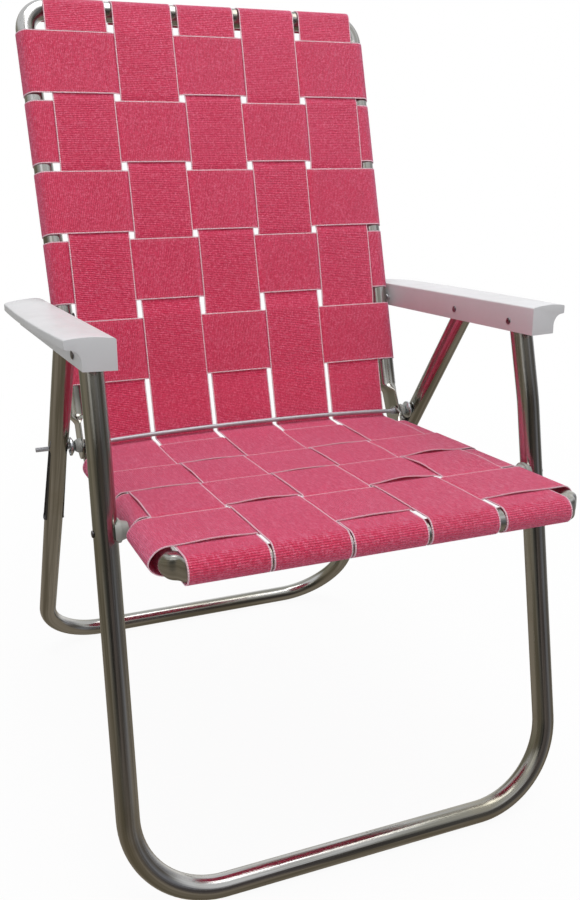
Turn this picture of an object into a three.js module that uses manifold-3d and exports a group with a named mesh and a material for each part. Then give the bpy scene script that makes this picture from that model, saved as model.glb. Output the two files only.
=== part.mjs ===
// Folding webbed lawn chair: bent tube frames, moulded armrests and woven webbing.
// Millimetres. +Z is up and +Y is the rear; left and right are as seen from the front.
import * as THREE from 'three';
import { mergeVertices } from 'three/addons/utils/BufferGeometryUtils.js';
import Module from 'manifold-3d';

const wasm = await Module();
wasm.setup();

// Width between the seat's rails, which the other frames follow
const seat_rail_spacing = 390;

// Tube stock, clearances and how finely curves are divided
const tube_d = 22.2;
const tube_wall = 1.2;
const seating_gap = 0.3;
const cut_overrun = 2;
const tube_sides = 16;
const bore_sides = 10;
const bolt_sides = 12;
const bend_steps = 6;

// Front leg: one U tube, wider than the seat, spread at the foot and leaning to the rear
const front_foot_margin = 75.7;
const front_pivot_margin = 60.6;
const front_lower_lean_share = 0.21;
const front_upper_lean_share = 0.2975;
const front_knee_height = 435.2;
const front_pivot_height = 515.7;
const knee_bend_r = 260;
const front_bend_r = 88;
const leg_end_length = 5;

// Rear leg: one U tube leaning to the front
const rear_margin = 67;
const rear_bend_r = 82;
const rear_foot_y = 537.4;
const rear_lean_share = 0.643;
const rear_pivot_height = 512.2;

// Seat frame: one U tube, open to the rear
const seat_front_y = -36.2;
const seat_front_height = 367.7;
const seat_slope_share = -0.051;
const seat_bend_r = 20;
const seat_tube_length = 318.5;

// Hinge rod across the chair
const rod_d = 5;
const rod_rise = 0.2;
const rod_left_reach = 253;
const rod_right_reach = 241.5;
const rod_collar_d = 8.4;
const rod_collar_length = 3.4;
const rod_collar_groove = 1;

// Back frame: one U tube, open downwards, held behind the rod
const back_rod_offset = 17;
const back_lean_share = 0.3463;
const back_length = 503.2;
const back_top_margin = 25;
const back_low_margin = 12;
const back_bend_r = 27;
const back_tube_foot = 38;
const back_pivot_distance = 149.2;

// Flattened ends of the seat and back tubes
const plate_thickness = 2.6;
const plate_width = 33;
const plate_gap = 0.6;
const plate_taper = 12;
const plate_end_reach = 14;
const seat_plate_rise = 9.3;
const back_plate_rise = 8;
const plate_taper_rise_share = 0.5;
const plate_end_steps = 4;
const plate_end_turn = 1.35;
const round_power = 2;
const plate_power = 7;

// Webbing and its weave
const cross_strap_width = 71.5;
const strap_thickness = 0.8;
const weave_rise = 1.3;
const strap_tail = 9;
const strap_lead = 20;
const wrap_steps = 7;
const long_strap_count = 5;
const long_strap_margin = 18.5;
const top_strap_gap = 7.5;
const crease_strap_gap = 4.3;
const front_strap_gap = 3.5;
const top_strap_centre = 7;
const crease_strap_centre = -4;
const front_strap_centre = -6;
const back_row_places = [437.2, 357.5, 276.5, 197, 105];
const seat_row_places = [57, 136, 209.2, 282];
const seat_pivot_row = 1;

// Armrest moulding, from ahead of the front pivot to beyond the back's pivot
const arm_slope_share = -0.047;
const arm_inner_margin = 15.9;
const arm_flare_share = 0.0238;
const arm_inner_wall = 2.6;
const arm_outer_wall = 2.6;
const arm_channel_width = 24;
const arm_front_reach = 40;
const arm_front_skew = 7;
const arm_rear_overhang = 41;
const arm_end_wall = 9;
const arm_channel_overhang = 18;
const arm_rise = 17.5;
const arm_drop = 10;
const arm_roof = 3.2;
const arm_crown = 1.6;
const arm_lip = 8.5;
const arm_lip_front_margin = 58;
const arm_lip_widest_margin = 71;
const arm_widest_lead = 25;
const arm_corner_r = 30;
const arm_edge = 1.6;
const arm_lip_least = 6.4;
const cove_width = 13;
const cove_foot = -2;
const cove_steps = 6;
const crown_steps = 4;
const arm_body_steps = 8;
const arm_corner_steps = 5;

// Bolts, washers and spacers
const bolt_d = 5;
const bolt_head_d = 9;
const bolt_head_h = 2;
const head_top_share = 0.6;
const arm_pivot_play = 5.3;
const arm_nut_d = 16;
const arm_nut_h = 2.4;
const arm_washer_d = 9;
const blind_depth = 1.4;
const seat_spacer_rail_d = 15;
const seat_spacer_leg_d = 22;
const seat_spacer_saddle = 4;
const rod_spacer_d = 16;
const rod_spacer_end_d = 12;
const rod_spacer_length = 7.1;
const cup_d = 21;
const cup_hub_d = 9;
const cup_thickness = 1;
const cup_rim = 2;

// Slot down each rear leg and the sleeve that lines it
const slot_play = 2.8;
const slot_travel = 122;
const liner_wall = 1;
const liner_stand = 1.4;

// Sizes that follow from the ones above
const quarter_turn = Math.PI / 2;
const half_facet = Math.PI / tube_sides;
const tube_r = tube_d / 2;
const bore_r = tube_r - tube_wall;
const rod_r = rod_d / 2;
const rod_height = seat_front_height + rod_rise;
const front_foot_spacing = seat_rail_spacing + front_foot_margin;
const front_pivot_spacing = seat_rail_spacing + front_pivot_margin;
const rear_spacing = seat_rail_spacing + rear_margin;
const back_top_spacing = seat_rail_spacing + back_top_margin;
const back_low_spacing = seat_rail_spacing + back_low_margin;
const arm_inner_x = seat_rail_spacing / 2 + arm_inner_margin;
const arm_lip_front_x = seat_rail_spacing / 2 + arm_lip_front_margin;
const arm_lip_widest_x = seat_rail_spacing / 2 + arm_lip_widest_margin;
const long_strap_fill = seat_rail_spacing - long_strap_margin - (long_strap_count - 1) * front_strap_gap;
const long_strap_width = long_strap_fill / long_strap_count;
const bolt_hole_r = bolt_d / 2 + seating_gap;
const bar_height = tube_r * Math.cos(half_facet);
const wrap_r = (tube_r + seating_gap + strap_thickness / 2) / Math.cos(quarter_turn / wrap_steps);
const weave_plane = tube_r + seating_gap + strap_thickness / 2 + weave_rise;
const back_plate_x = back_low_spacing / 2;
const seat_plate_x = back_plate_x - plate_thickness - plate_gap;
const liner_bore_half = rod_r + slot_play;
const liner_half = liner_bore_half + liner_wall;
const slot_half = liner_half + seating_gap;

function place(x, y, z) {
  return new THREE.Vector3(x, y, z);
}

function between(a, b, share) {
  return a + (b - a) * share;
}

function mirrorX(p) {
  return place(-p.x, p.y, p.z);
}

// A straight line in side view: distance runs along it and height stands square to it
function sideLine(y, z, run_y, run_z) {
  const length = Math.hypot(run_y, run_z);
  const along = place(0, run_y / length, run_z / length);
  const square = place(0, -along.z, along.y);
  const at = (x, distance, height) =>
    place(x, y, z).addScaledVector(along, distance).addScaledVector(square, height);
  return { along, square, at };
}

// Places on the legs at a height above the floor
function frontLegPlace(height) {
  const lower = Math.min(height, front_knee_height) - bar_height;
  const upper = Math.max(height - front_knee_height, 0);
  const share = (height - bar_height) / (front_pivot_height - bar_height);
  const half = between(front_foot_spacing, front_pivot_spacing, share) / 2;
  return place(half, lower * front_lower_lean_share + upper * front_upper_lean_share, height);
}

function rearLegPlace(height) {
  return place(rear_spacing / 2, rear_foot_y - rear_lean_share * (height - bar_height), height);
}

const front_pivot = frontLegPlace(front_pivot_height);
const rear_pivot = rearLegPlace(rear_pivot_height);
const rod_centre = rearLegPlace(rod_height);

// Seat line: from the front rail to the rear, with height towards the sitter
const seat_line = sideLine(seat_front_y, seat_front_height, 1, seat_slope_share);
const rod_on_seat = rod_centre.clone().sub(seat_line.at(rod_centre.x, 0, 0)).dot(seat_line.along);

// Back line: from beside the rod upwards, with height towards the sitter
const back_slant = sideLine(rod_centre.y, rod_centre.z, back_lean_share, 1);
const back_foot = back_slant.at(0, 0, -back_rod_offset);
const back_line = sideLine(back_foot.y, back_foot.z, back_lean_share, 1);

function backHalf(distance) {
  const share = (distance - back_tube_foot) / (back_length - back_tube_foot);
  return between(back_low_spacing, back_top_spacing, share) / 2;
}

const back_pivot = back_line.at(backHalf(back_pivot_distance), back_pivot_distance, 0);

// The seat turns where its rail crosses the front leg in side view
function seatPivot() {
  const level = seat_front_height - seat_slope_share * (seat_front_y + front_lower_lean_share * bar_height);
  return frontLegPlace(level / (1 - seat_slope_share * front_lower_lean_share));
}

const seat_pivot = seatPivot();

// Armrest line: from the front pivot to the rear, with height upwards
const arm_line = sideLine(front_pivot.y, front_pivot.z, 1, arm_slope_share);

function armInner(distance) {
  return arm_inner_x + arm_flare_share * distance;
}

function armDistance(p) {
  return p.clone().sub(front_pivot).dot(arm_line.along);
}

const arm_back_pivot_place = armDistance(back_pivot);
const arm_rear_reach = arm_back_pivot_place + arm_rear_overhang;
const arm_channel_rear = arm_back_pivot_place + arm_channel_overhang;
const arm_widest_place = arm_back_pivot_place - arm_widest_lead;

// The end face of a ring of points, as triangles that face along the ring's own turn
function capFaces(ring) {
  const normal = place(0, 0, 0);
  ring.forEach((p, k) => {
    const next = ring[(k + 1) % ring.length];
    normal.add(p.clone().sub(ring[0]).cross(next.clone().sub(ring[0])));
  });
  const u = ring[1].clone().sub(ring[0]).normalize();
  const v = normal.normalize().clone().cross(u);
  const outline = ring.map((p) => new THREE.Vector2(p.dot(u), p.dot(v)));
  return THREE.ShapeUtils.triangulateShape(outline, []);
}

// A closed solid through rings that turn right-handed about the direction of travel
function loft(rings) {
  const count = rings[0].length;
  const last = (rings.length - 1) * count;
  const faces = [];
  for (let start = 0; start < last; start += count) {
    for (let k = 0; k < count; k++) {
      const a = start + k;
      const b = start + (k + 1) % count;
      faces.push(a, b, b + count, a, b + count, a + count);
    }
  }
  capFaces(rings[0]).forEach(([a, b, c]) => faces.push(c, b, a));
  capFaces(rings.at(-1)).forEach(([a, b, c]) => faces.push(last + a, last + b, last + c));
  const geometry = new THREE.BufferGeometry();
  const coordinates = rings.flat().flatMap((p) => p.toArray());
  geometry.setAttribute('position', new THREE.Float32BufferAttribute(coordinates, 3));
  geometry.setIndex(faces);
  return geometry;
}

// The same surface with shared corners and places only
function merged(geometry) {
  const bare = geometry.clone();
  bare.deleteAttribute('normal');
  bare.deleteAttribute('uv');
  return mergeVertices(bare);
}

function toSolid(geometry) {
  const surface = merged(geometry);
  const vertProperties = new Float32Array(surface.attributes.position.array);
  const triVerts = new Uint32Array(surface.index.array);
  return new wasm.Manifold(new wasm.Mesh({ numProp: 3, vertProperties, triVerts }));
}

function cut(geometry, tools) {
  const solid = tools.reduce((rest, tool) => rest.subtract(toSolid(tool)), toSolid(geometry));
  const mesh = solid.getMesh();
  const result = new THREE.BufferGeometry();
  result.setAttribute('position', new THREE.BufferAttribute(mesh.vertProperties, 3));
  result.setIndex(new THREE.BufferAttribute(mesh.triVerts, 1));
  return result;
}

// The left-hand copy of a right-hand piece
function mirrored(geometry) {
  const copy = merged(geometry);
  copy.scale(-1, 1, 1);
  const index = copy.index.array;
  for (let i = 0; i < index.length; i += 3) {
    [index[i], index[i + 1]] = [index[i + 1], index[i]];
  }
  return copy;
}

// Stations along straight runs whose corners are rounded, each by its own radius
function route(corners, radii) {
  const stations = [];
  const addStation = (at, along) => stations.push({ at, along });
  addStation(corners[0], corners[1].clone().sub(corners[0]).normalize());
  radii.forEach((r, i) => {
    const corner = corners[i + 1];
    const arrive = corner.clone().sub(corners[i]).normalize();
    const leave = corners[i + 2].clone().sub(corner).normalize();
    const turn = arrive.angleTo(leave);
    const axis = arrive.clone().cross(leave).normalize();
    const spoke = arrive.clone().cross(axis).multiplyScalar(r);
    const centre = corner.clone().addScaledVector(arrive, -r * Math.tan(turn / 2)).sub(spoke);
    const steps = Math.ceil(bend_steps * turn / quarter_turn);
    for (let k = 0; k <= steps; k++) {
      const angle = turn * k / steps;
      const at = centre.clone().add(spoke.clone().applyAxisAngle(axis, angle));
      addStation(at, arrive.clone().applyAxisAngle(axis, angle));
    }
  });
  addStation(corners.at(-1), corners.at(-1).clone().sub(corners.at(-2)).normalize());
  return stations;
}

// A whole U from the stations of its right half, listed from the middle outwards
function bothSides(right) {
  const left = right.map((s) => ({ ...s, at: mirrorX(s.at), along: mirrorX(s.along).negate() }));
  return [...left.reverse(), ...right];
}

// A ring round a station: power 2 is round and a high power is flat with rounded edges
function ring(station, normal, half_u, half_v, sides, phase, power) {
  const u = normal.clone().addScaledVector(station.along, -normal.dot(station.along)).normalize();
  const v = station.along.clone().cross(u);
  const swell = (w) => Math.sign(w) * Math.abs(w) ** (round_power / power);
  const points = [];
  for (let k = 0; k < sides; k++) {
    const angle = phase + 2 * Math.PI * k / sides;
    points.push(station.at.clone()
      .addScaledVector(u, half_u * swell(Math.cos(angle)))
      .addScaledVector(v, half_v * swell(Math.sin(angle))));
  }
  return points;
}

function tubeOutside(stations, normal, phase, r = tube_r) {
  return loft(stations.map((s) =>
    ring(s, normal, s.half_u ?? r, s.half_v ?? r, tube_sides, phase, s.power ?? round_power)));
}

function tubeBore(stations, normal, phase, overrun) {
  const run = stations.map((s) => ({ at: s.at.clone(), along: s.along }));
  run[0].at.addScaledVector(run[0].along, -overrun);
  run.at(-1).at.addScaledVector(run.at(-1).along, overrun);
  return loft(run.map((s) => ring(s, normal, bore_r, bore_r, bore_sides, phase, round_power)));
}

// A turned solid from places along X and radii, about an axis along X
function turned(profile, at, sides = bolt_sides) {
  const geometry = new THREE.LatheGeometry(profile.map(([x, r]) => new THREE.Vector2(r, x)), sides);
  geometry.rotateZ(-quarter_turn);
  geometry.translate(0, at.y, at.z);
  return geometry;
}

function pin(r, from_x, to_x, at, sides = bolt_sides) {
  return turned([[from_x, 0], [from_x, r], [to_x, r], [to_x, 0]], at, sides);
}

function throughHole(r, at) {
  return pin(r, -rear_spacing, rear_spacing, at);
}

// The profile of a bolt: a domed head inside and, where a size is given, a head or nut outside
function boltProfile(inner_x, outer_x, far_d, far_h) {
  const head_r = bolt_head_d / 2;
  const shank_r = bolt_d / 2;
  const near = [
    [inner_x - bolt_head_h, 0],
    [inner_x - bolt_head_h, head_r * head_top_share],
    [inner_x - bolt_head_h / 2, head_r],
    [inner_x, head_r],
    [inner_x, shank_r],
    [outer_x, shank_r],
  ];
  if (!far_d) {
    return [...near, [outer_x, 0]];
  }
  const far_r = far_d / 2;
  return [
    ...near,
    [outer_x, far_r],
    [outer_x + far_h / 2, far_r],
    [outer_x + far_h, far_r * head_top_share],
    [outer_x + far_h, 0],
  ];
}

// Front leg
const front_lean = Math.atan(front_lower_lean_share);
const front_normal = place(0, -Math.cos(front_lean), Math.sin(front_lean));

function frontLeg() {
  const foot = frontLegPlace(bar_height);
  const top = frontLegPlace(front_pivot_height + leg_end_length);
  const middle = place(0, foot.y, foot.z);
  const right = route([middle, foot, frontLegPlace(front_knee_height), top], [front_bend_r, knee_bend_r]);
  const stations = bothSides(right.slice(1));
  const phase = front_lean + half_facet;
  return cut(tubeOutside(stations, front_normal, phase), [
    tubeBore(stations, front_normal, phase, cut_overrun),
    throughHole(bolt_hole_r, front_pivot),
    throughHole(bolt_hole_r, seat_pivot),
  ]);
}

// Rear leg and the lined slot that the rod slides down
const rear_lean = Math.atan(rear_lean_share);
const rear_normal = place(0, -Math.cos(rear_lean), -Math.sin(rear_lean));

function slotPrism(half_width, from_x, to_x) {
  const shape = new THREE.Shape();
  shape.absarc(slot_travel, 0, half_width, -quarter_turn, quarter_turn, false);
  shape.absarc(0, 0, half_width, quarter_turn, 3 * quarter_turn, false);
  const geometry = new THREE.ExtrudeGeometry(shape, {
    depth: to_x - from_x,
    bevelEnabled: false,
    curveSegments: bend_steps,
  });
  geometry.rotateY(quarter_turn);
  geometry.rotateX(rear_lean);
  geometry.translate(from_x, rod_centre.y, rod_centre.z);
  return geometry;
}

function rearLeg() {
  const foot = rearLegPlace(bar_height);
  const top = rearLegPlace(rear_pivot_height + leg_end_length);
  const right = route([place(0, foot.y, foot.z), foot, top], [rear_bend_r]);
  const stations = bothSides(right.slice(1));
  const phase = half_facet - rear_lean;
  return cut(tubeOutside(stations, rear_normal, phase), [
    tubeBore(stations, rear_normal, phase, cut_overrun),
    throughHole(bolt_hole_r, rear_pivot),
    slotPrism(slot_half, -rear_spacing, rear_spacing),
  ]);
}

function slotLiner() {
  const from_x = rear_spacing / 2 - tube_r - liner_stand;
  const to_x = rear_spacing / 2 + tube_r + liner_stand;
  const opening = slotPrism(liner_bore_half, from_x - cut_overrun, to_x + cut_overrun);
  return cut(slotPrism(liner_half, from_x, to_x), [opening]);
}

// The flattened end of a tube: full width from the taper on, then rounded off past the rod
function flatEnd(line, plate_x, start, rod_at, travel, rise) {
  const along = line.along.clone().multiplyScalar(travel);
  const station = (distance, height, width_share) => ({
    at: line.at(plate_x, distance, height),
    along,
    half_u: plate_width / 2 * width_share,
    half_v: plate_thickness / 2,
    power: plate_power,
  });
  const stations = [station(start + travel * plate_taper, rise * plate_taper_rise_share, 1)];
  for (let k = 0; k <= plate_end_steps; k++) {
    const angle = plate_end_turn * k / plate_end_steps;
    const reach = travel * plate_end_reach * Math.sin(angle);
    stations.push(station(rod_at + reach, rise, Math.cos(angle)));
  }
  return stations;
}

// Seat frame
function seatFrame() {
  const half = seat_rail_spacing / 2;
  const corners = [seat_line.at(0, 0, 0), seat_line.at(half, 0, 0), seat_line.at(half, seat_tube_length, 0)];
  const arch = route(corners, [seat_bend_r]).slice(1);
  const flat = flatEnd(seat_line, seat_plate_x, seat_tube_length, rod_on_seat, 1, seat_plate_rise);
  return cut(tubeOutside(bothSides([...arch, ...flat]), seat_line.square, half_facet), [
    tubeBore(bothSides(arch), seat_line.square, half_facet, 0),
    throughHole(bolt_hole_r, seat_pivot),
    throughHole(rod_r + seating_gap, rod_centre),
  ]);
}

// Back frame
function backFrame() {
  const corners = [
    back_line.at(0, back_length, 0),
    back_line.at(backHalf(back_length), back_length, 0),
    back_line.at(backHalf(back_tube_foot), back_tube_foot, 0),
  ];
  const arch = route(corners, [back_bend_r]).slice(1);
  const flat = flatEnd(back_line, back_plate_x, back_tube_foot, 0, -1, back_plate_rise);
  return cut(tubeOutside(bothSides([...arch, ...flat]), back_line.square, half_facet), [
    tubeBore(bothSides(arch), back_line.square, half_facet, 0),
    throughHole(bolt_hole_r, back_pivot),
    throughHole(rod_r + seating_gap, rod_centre),
  ]);
}

// A flat band through stations, each given by a place on its low edge and one on its high edge
function band(stations) {
  const middles = stations.map((s) => s.low.clone().add(s.high).multiplyScalar(0.5));
  const width = stations[0].high.clone().sub(stations[0].low).normalize();
  const faceAt = (i) => middles[i + 1].clone().sub(middles[i]).cross(width).normalize();
  const rings = stations.map(({ low, high }, i) => {
    const before = faceAt(Math.max(i - 1, 0));
    const after = faceAt(Math.min(i, stations.length - 2));
    const face = before.clone().add(after).normalize();
    face.multiplyScalar(strap_thickness / 2 / face.dot(after));
    return [
      low.clone().sub(face),
      high.clone().sub(face),
      high.clone().add(face),
      low.clone().add(face),
    ];
  });
  return loft(rings);
}

// The half turn of a strap round a tube: how far out and how high it is at each step
function wrapPath() {
  const steps = [{ out: -strap_tail, height: -wrap_r }];
  for (let k = wrap_steps; k >= 0; k--) {
    const angle = 2 * quarter_turn * k / wrap_steps;
    steps.push({ out: wrap_r * Math.sin(angle), height: wrap_r * Math.cos(angle) });
  }
  return steps;
}

// Where the woven planes of the seat and the back meet
function creasePlace() {
  const seat = seat_line.at(0, 0, weave_plane);
  const back = back_line.at(0, 0, weave_plane);
  const apart = back.clone().sub(seat);
  const cross = (a, b) => a.y * b.z - a.z * b.y;
  const turn = cross(seat_line.along, back_line.along);
  return {
    seat: cross(apart, back_line.along) / turn,
    back: cross(apart, seat_line.along) / turn,
  };
}

const crease = creasePlace();
const crease_gap = strap_thickness + seating_gap;

// The left edge of a long strap on the seat and on the back
function longEdge(number, gap, centre) {
  return centre + (number - (long_strap_count - 1) / 2) * (long_strap_width + gap) - long_strap_width / 2;
}

function seatStrapEdge(number, distance) {
  const share = distance / crease.seat;
  const gap = between(front_strap_gap, crease_strap_gap, share);
  return longEdge(number, gap, between(front_strap_centre, crease_strap_centre, share));
}

function backStrapEdge(number, distance) {
  const share = distance / back_length;
  const gap = between(crease_strap_gap, top_strap_gap, share);
  return longEdge(number, gap, between(crease_strap_centre, top_strap_centre, share));
}

function longStrap(line, path, edgeAt) {
  return band(path.map(({ distance, height }) => ({
    low: line.at(edgeAt(distance), distance, height),
    high: line.at(edgeAt(distance) + long_strap_width, distance, height),
  })));
}

function seatLongStrap(number) {
  const path = [
    ...wrapPath().map(({ out, height }) => ({ distance: -out, height })),
    { distance: strap_lead, height: weave_plane },
    { distance: crease.seat - crease_gap, height: weave_plane },
  ];
  return longStrap(seat_line, path, (distance) => seatStrapEdge(number, distance));
}

function backLongStrap(number) {
  const path = [
    { distance: crease.back + crease_gap, height: weave_plane },
    { distance: back_length - strap_lead, height: weave_plane },
    ...wrapPath().reverse().map(({ out, height }) => ({ distance: back_length + out, height })),
  ];
  return longStrap(back_line, path, (distance) => backStrapEdge(number, distance));
}

// A cross strap passes over and under the long straps in turn and is wrapped round both sides
function crossStrap(line, centre, first_over, halfAt, edgeAt) {
  const levels = wrapPath().map(({ out, height }) => ({ xAt: (d) => -halfAt(d) - out, height }));
  for (let number = 0; number < long_strap_count; number++) {
    const over = (number % 2 === 0) === first_over;
    const height = weave_plane + (over ? weave_rise : -weave_rise);
    levels.push({ xAt: (d) => edgeAt(number, d), height });
    levels.push({ xAt: (d) => edgeAt(number, d) + long_strap_width, height });
  }
  wrapPath().reverse().forEach(({ out, height }) => {
    levels.push({ xAt: (d) => halfAt(d) + out, height });
  });
  const low = centre - cross_strap_width / 2;
  const high = centre + cross_strap_width / 2;
  return band(levels.map(({ xAt, height }) => ({
    low: line.at(xAt(low), low, height),
    high: line.at(xAt(high), high, height),
  })));
}

function seatCrossStrap(row) {
  const half = () => seat_rail_spacing / 2;
  const strap = crossStrap(seat_line, seat_row_places[row], row % 2 === 0, half, seatStrapEdge);
  return row === seat_pivot_row ? cut(strap, [throughHole(bolt_hole_r, seat_pivot)]) : strap;
}

function backCrossStrap(row) {
  return crossStrap(back_line, back_row_places[row], row % 2 === 0, backHalf, backStrapEdge);
}

// Armrest: the outline of its section, then the moulding along its length
function armLip(distance) {
  const from_widest = (arm_widest_place - distance) / (arm_widest_place + arm_front_reach);
  const lip = arm_lip_widest_x - (arm_lip_widest_x - arm_lip_front_x) * from_widest ** 2;
  const into_corner = Math.max(distance - arm_rear_reach + arm_corner_r, 0);
  return lip - arm_corner_r + Math.sqrt(arm_corner_r ** 2 - into_corner ** 2);
}

function armWall(distance) {
  const wall = armInner(distance) + arm_inner_wall + arm_channel_width + arm_outer_wall;
  return Math.min(wall, armLip(distance) - arm_lip_least);
}

function armSection(distance) {
  const inner = armInner(distance);
  const lip = armLip(distance);
  const wall = armWall(distance);
  const lip_foot = arm_rise - arm_lip;
  const cove = Math.min(cove_width, lip - 2 * arm_edge - wall);
  const outline = [[inner, -arm_drop], [inner, arm_rise - arm_edge]];
  for (let k = 0; k <= crown_steps; k++) {
    const share = k / crown_steps;
    const x = between(inner + arm_edge, lip - arm_edge, share);
    outline.push([x, arm_rise + arm_crown * (1 - (2 * share - 1) ** 2)]);
  }
  outline.push([lip, arm_rise - arm_edge], [lip, lip_foot + arm_edge], [lip - arm_edge, lip_foot]);
  for (let k = cove_steps; k >= 0; k--) {
    const angle = quarter_turn * k / cove_steps;
    const x = wall + cove * (1 - Math.cos(angle));
    outline.push([x, between(cove_foot, lip_foot, Math.sin(angle))]);
  }
  outline.push([wall, -arm_drop]);
  return outline;
}

function armRing(distance, skew) {
  const inner = armInner(distance);
  const lip = armLip(distance);
  return armSection(distance).map(([x, height]) =>
    arm_line.at(x, distance + skew * (x - inner) / (lip - inner), height));
}

function armChannel() {
  const roof = arm_rise - arm_roof;
  const floor = -arm_drop - cut_overrun;
  return loft([arm_end_wall - arm_front_reach, arm_channel_rear].map((distance) => {
    const near = armInner(distance) + arm_inner_wall;
    const far = near + arm_channel_width;
    const corners = [[near, floor], [near, roof], [far, roof], [far, floor]];
    return corners.map(([x, height]) => arm_line.at(x, distance, height));
  }));
}

const front_arm_wall = armWall(0);
const rear_arm_inner = armInner(armDistance(rear_pivot));
const rear_arm_far = rear_arm_inner + arm_inner_wall + arm_channel_width;
const back_arm_inner = armInner(arm_back_pivot_place);

function armrest() {
  const rings = [armRing(-arm_front_reach, arm_front_skew)];
  const body_end = arm_rear_reach - arm_corner_r;
  for (let k = 1; k <= arm_body_steps; k++) {
    rings.push(armRing(between(-arm_front_reach, body_end, k / arm_body_steps), 0));
  }
  for (let k = 1; k <= arm_corner_steps; k++) {
    rings.push(armRing(body_end + arm_corner_r * Math.sin(quarter_turn * k / arm_corner_steps), 0));
  }
  const inside = arm_inner_x - cut_overrun;
  const outside = arm_lip_widest_x + cut_overrun;
  const play_x = back_arm_inner + arm_inner_wall + cut_overrun;
  return cut(loft(rings), [
    armChannel(),
    pin(bolt_hole_r, inside, outside, front_pivot),
    pin(bolt_head_d / 2 + seating_gap, front_arm_wall, outside, front_pivot),
    pin(bolt_hole_r, inside, rear_arm_far + blind_depth + seating_gap, rear_pivot),
    pin(bolt_d / 2 + arm_pivot_play, inside, play_x, back_pivot, tube_sides),
  ]);
}

// Bolts at the armrests, with their heads towards the sitter
function frontArmBolt() {
  const inner = armInner(0) - seating_gap;
  const outer = front_arm_wall + seating_gap;
  return turned(boltProfile(inner, outer, bolt_head_d, bolt_head_h), front_pivot);
}

function rearArmBolt() {
  return turned(boltProfile(rear_arm_inner - seating_gap, rear_arm_far + blind_depth), rear_pivot);
}

function backArmBolt() {
  const inner = back_pivot.x - tube_r - seating_gap;
  const outer = back_arm_inner + arm_inner_wall + seating_gap;
  return turned(boltProfile(inner, outer, arm_nut_d, arm_nut_h), back_pivot);
}

function backArmWasher() {
  const near = back_pivot.x + tube_r + seating_gap;
  const far = back_arm_inner - seating_gap;
  return cut(pin(arm_washer_d / 2, near, far, back_pivot), [throughHole(bolt_hole_r, back_pivot)]);
}

// Seat pivot bolts and the spacers that fit round the front leg
function seatBolt() {
  const inner = seat_rail_spacing / 2 - tube_r - seating_gap;
  const outer = seat_pivot.x + tube_r + seating_gap;
  return turned(boltProfile(inner, outer, bolt_head_d, bolt_head_h), seat_pivot);
}

function seatSpacer() {
  const near = seat_rail_spacing / 2 + tube_r + strap_thickness + 2 * seating_gap;
  const leg_face = seat_pivot.x - tube_r;
  const far = leg_face + seat_spacer_saddle;
  const rail_r = seat_spacer_rail_d / 2;
  const leg_r = seat_spacer_leg_d / 2;
  const profile = [[near, 0], [near, rail_r], [leg_face, leg_r], [far, leg_r], [far, 0]];
  const along = frontLegPlace(front_knee_height).sub(seat_pivot).normalize();
  const leg_run = [-seat_spacer_leg_d, seat_spacer_leg_d].map((reach) => ({
    at: seat_pivot.clone().addScaledVector(along, reach),
    along,
  }));
  return cut(turned(profile, seat_pivot, tube_sides), [
    tubeOutside(leg_run, front_normal, front_lean + half_facet, tube_r + seating_gap),
    throughHole(bolt_hole_r, seat_pivot),
  ]);
}

// Hinge rod with a grooved collar inside each plate
function hingeRod() {
  const collar_x = seat_plate_x - plate_thickness / 2 - seating_gap;
  const collar_r = rod_collar_d / 2;
  const groove_x = collar_x - (rod_collar_length + rod_collar_groove) / 2;
  const half = [
    [collar_x - rod_collar_length, rod_r],
    [collar_x - rod_collar_length, collar_r],
    [groove_x, collar_r],
    [groove_x, rod_r],
    [groove_x + rod_collar_groove, rod_r],
    [groove_x + rod_collar_groove, collar_r],
    [collar_x, collar_r],
    [collar_x, rod_r],
  ];
  return turned([
    [-rod_left_reach, 0],
    [-rod_left_reach, rod_r],
    ...half.map(([x, r]) => [-x, r]).reverse(),
    ...half,
    [rod_right_reach, rod_r],
    [rod_right_reach, 0],
  ], rod_centre);
}

// Spacer and cup washer on each end of the rod
const rod_hole_r = rod_r + seating_gap;
const rod_spacer_near = back_plate_x + plate_thickness / 2 + seating_gap;
const rod_spacer_far = rod_spacer_near + rod_spacer_length;
const cup_near = rod_spacer_far + seating_gap;
const cup_far = rear_spacing / 2 - tube_r - liner_stand - seating_gap;

function rodSpacer() {
  return turned([
    [rod_spacer_near, rod_hole_r],
    [rod_spacer_near, rod_spacer_d / 2],
    [rod_spacer_near + rod_spacer_length / 2, rod_spacer_d / 2],
    [rod_spacer_far, rod_spacer_end_d / 2],
    [rod_spacer_far, rod_hole_r],
    [rod_spacer_near, rod_hole_r],
  ], rod_centre, tube_sides);
}

function cupWasher() {
  const rim_r = cup_d / 2;
  const hub_r = cup_hub_d / 2;
  return turned([
    [cup_near, rod_hole_r],
    [cup_near, hub_r],
    [cup_far - cup_rim, rim_r],
    [cup_far, rim_r],
    [cup_far, rim_r - cup_thickness],
    [cup_far - cup_rim, rim_r - cup_thickness],
    [cup_near + cup_thickness, hub_r - cup_thickness / 2],
    [cup_near + cup_thickness, rod_hole_r],
    [cup_near, rod_hole_r],
  ], rod_centre, tube_sides);
}

// The chair
const chair = new THREE.Group();

function add(name, geometry) {
  const mesh = new THREE.Mesh(geometry);
  mesh.name = name;
  chair.add(mesh);
}

function addPair(name, geometry) {
  add(`${name}_right`, geometry);
  add(`${name}_left`, mirrored(geometry));
}

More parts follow.
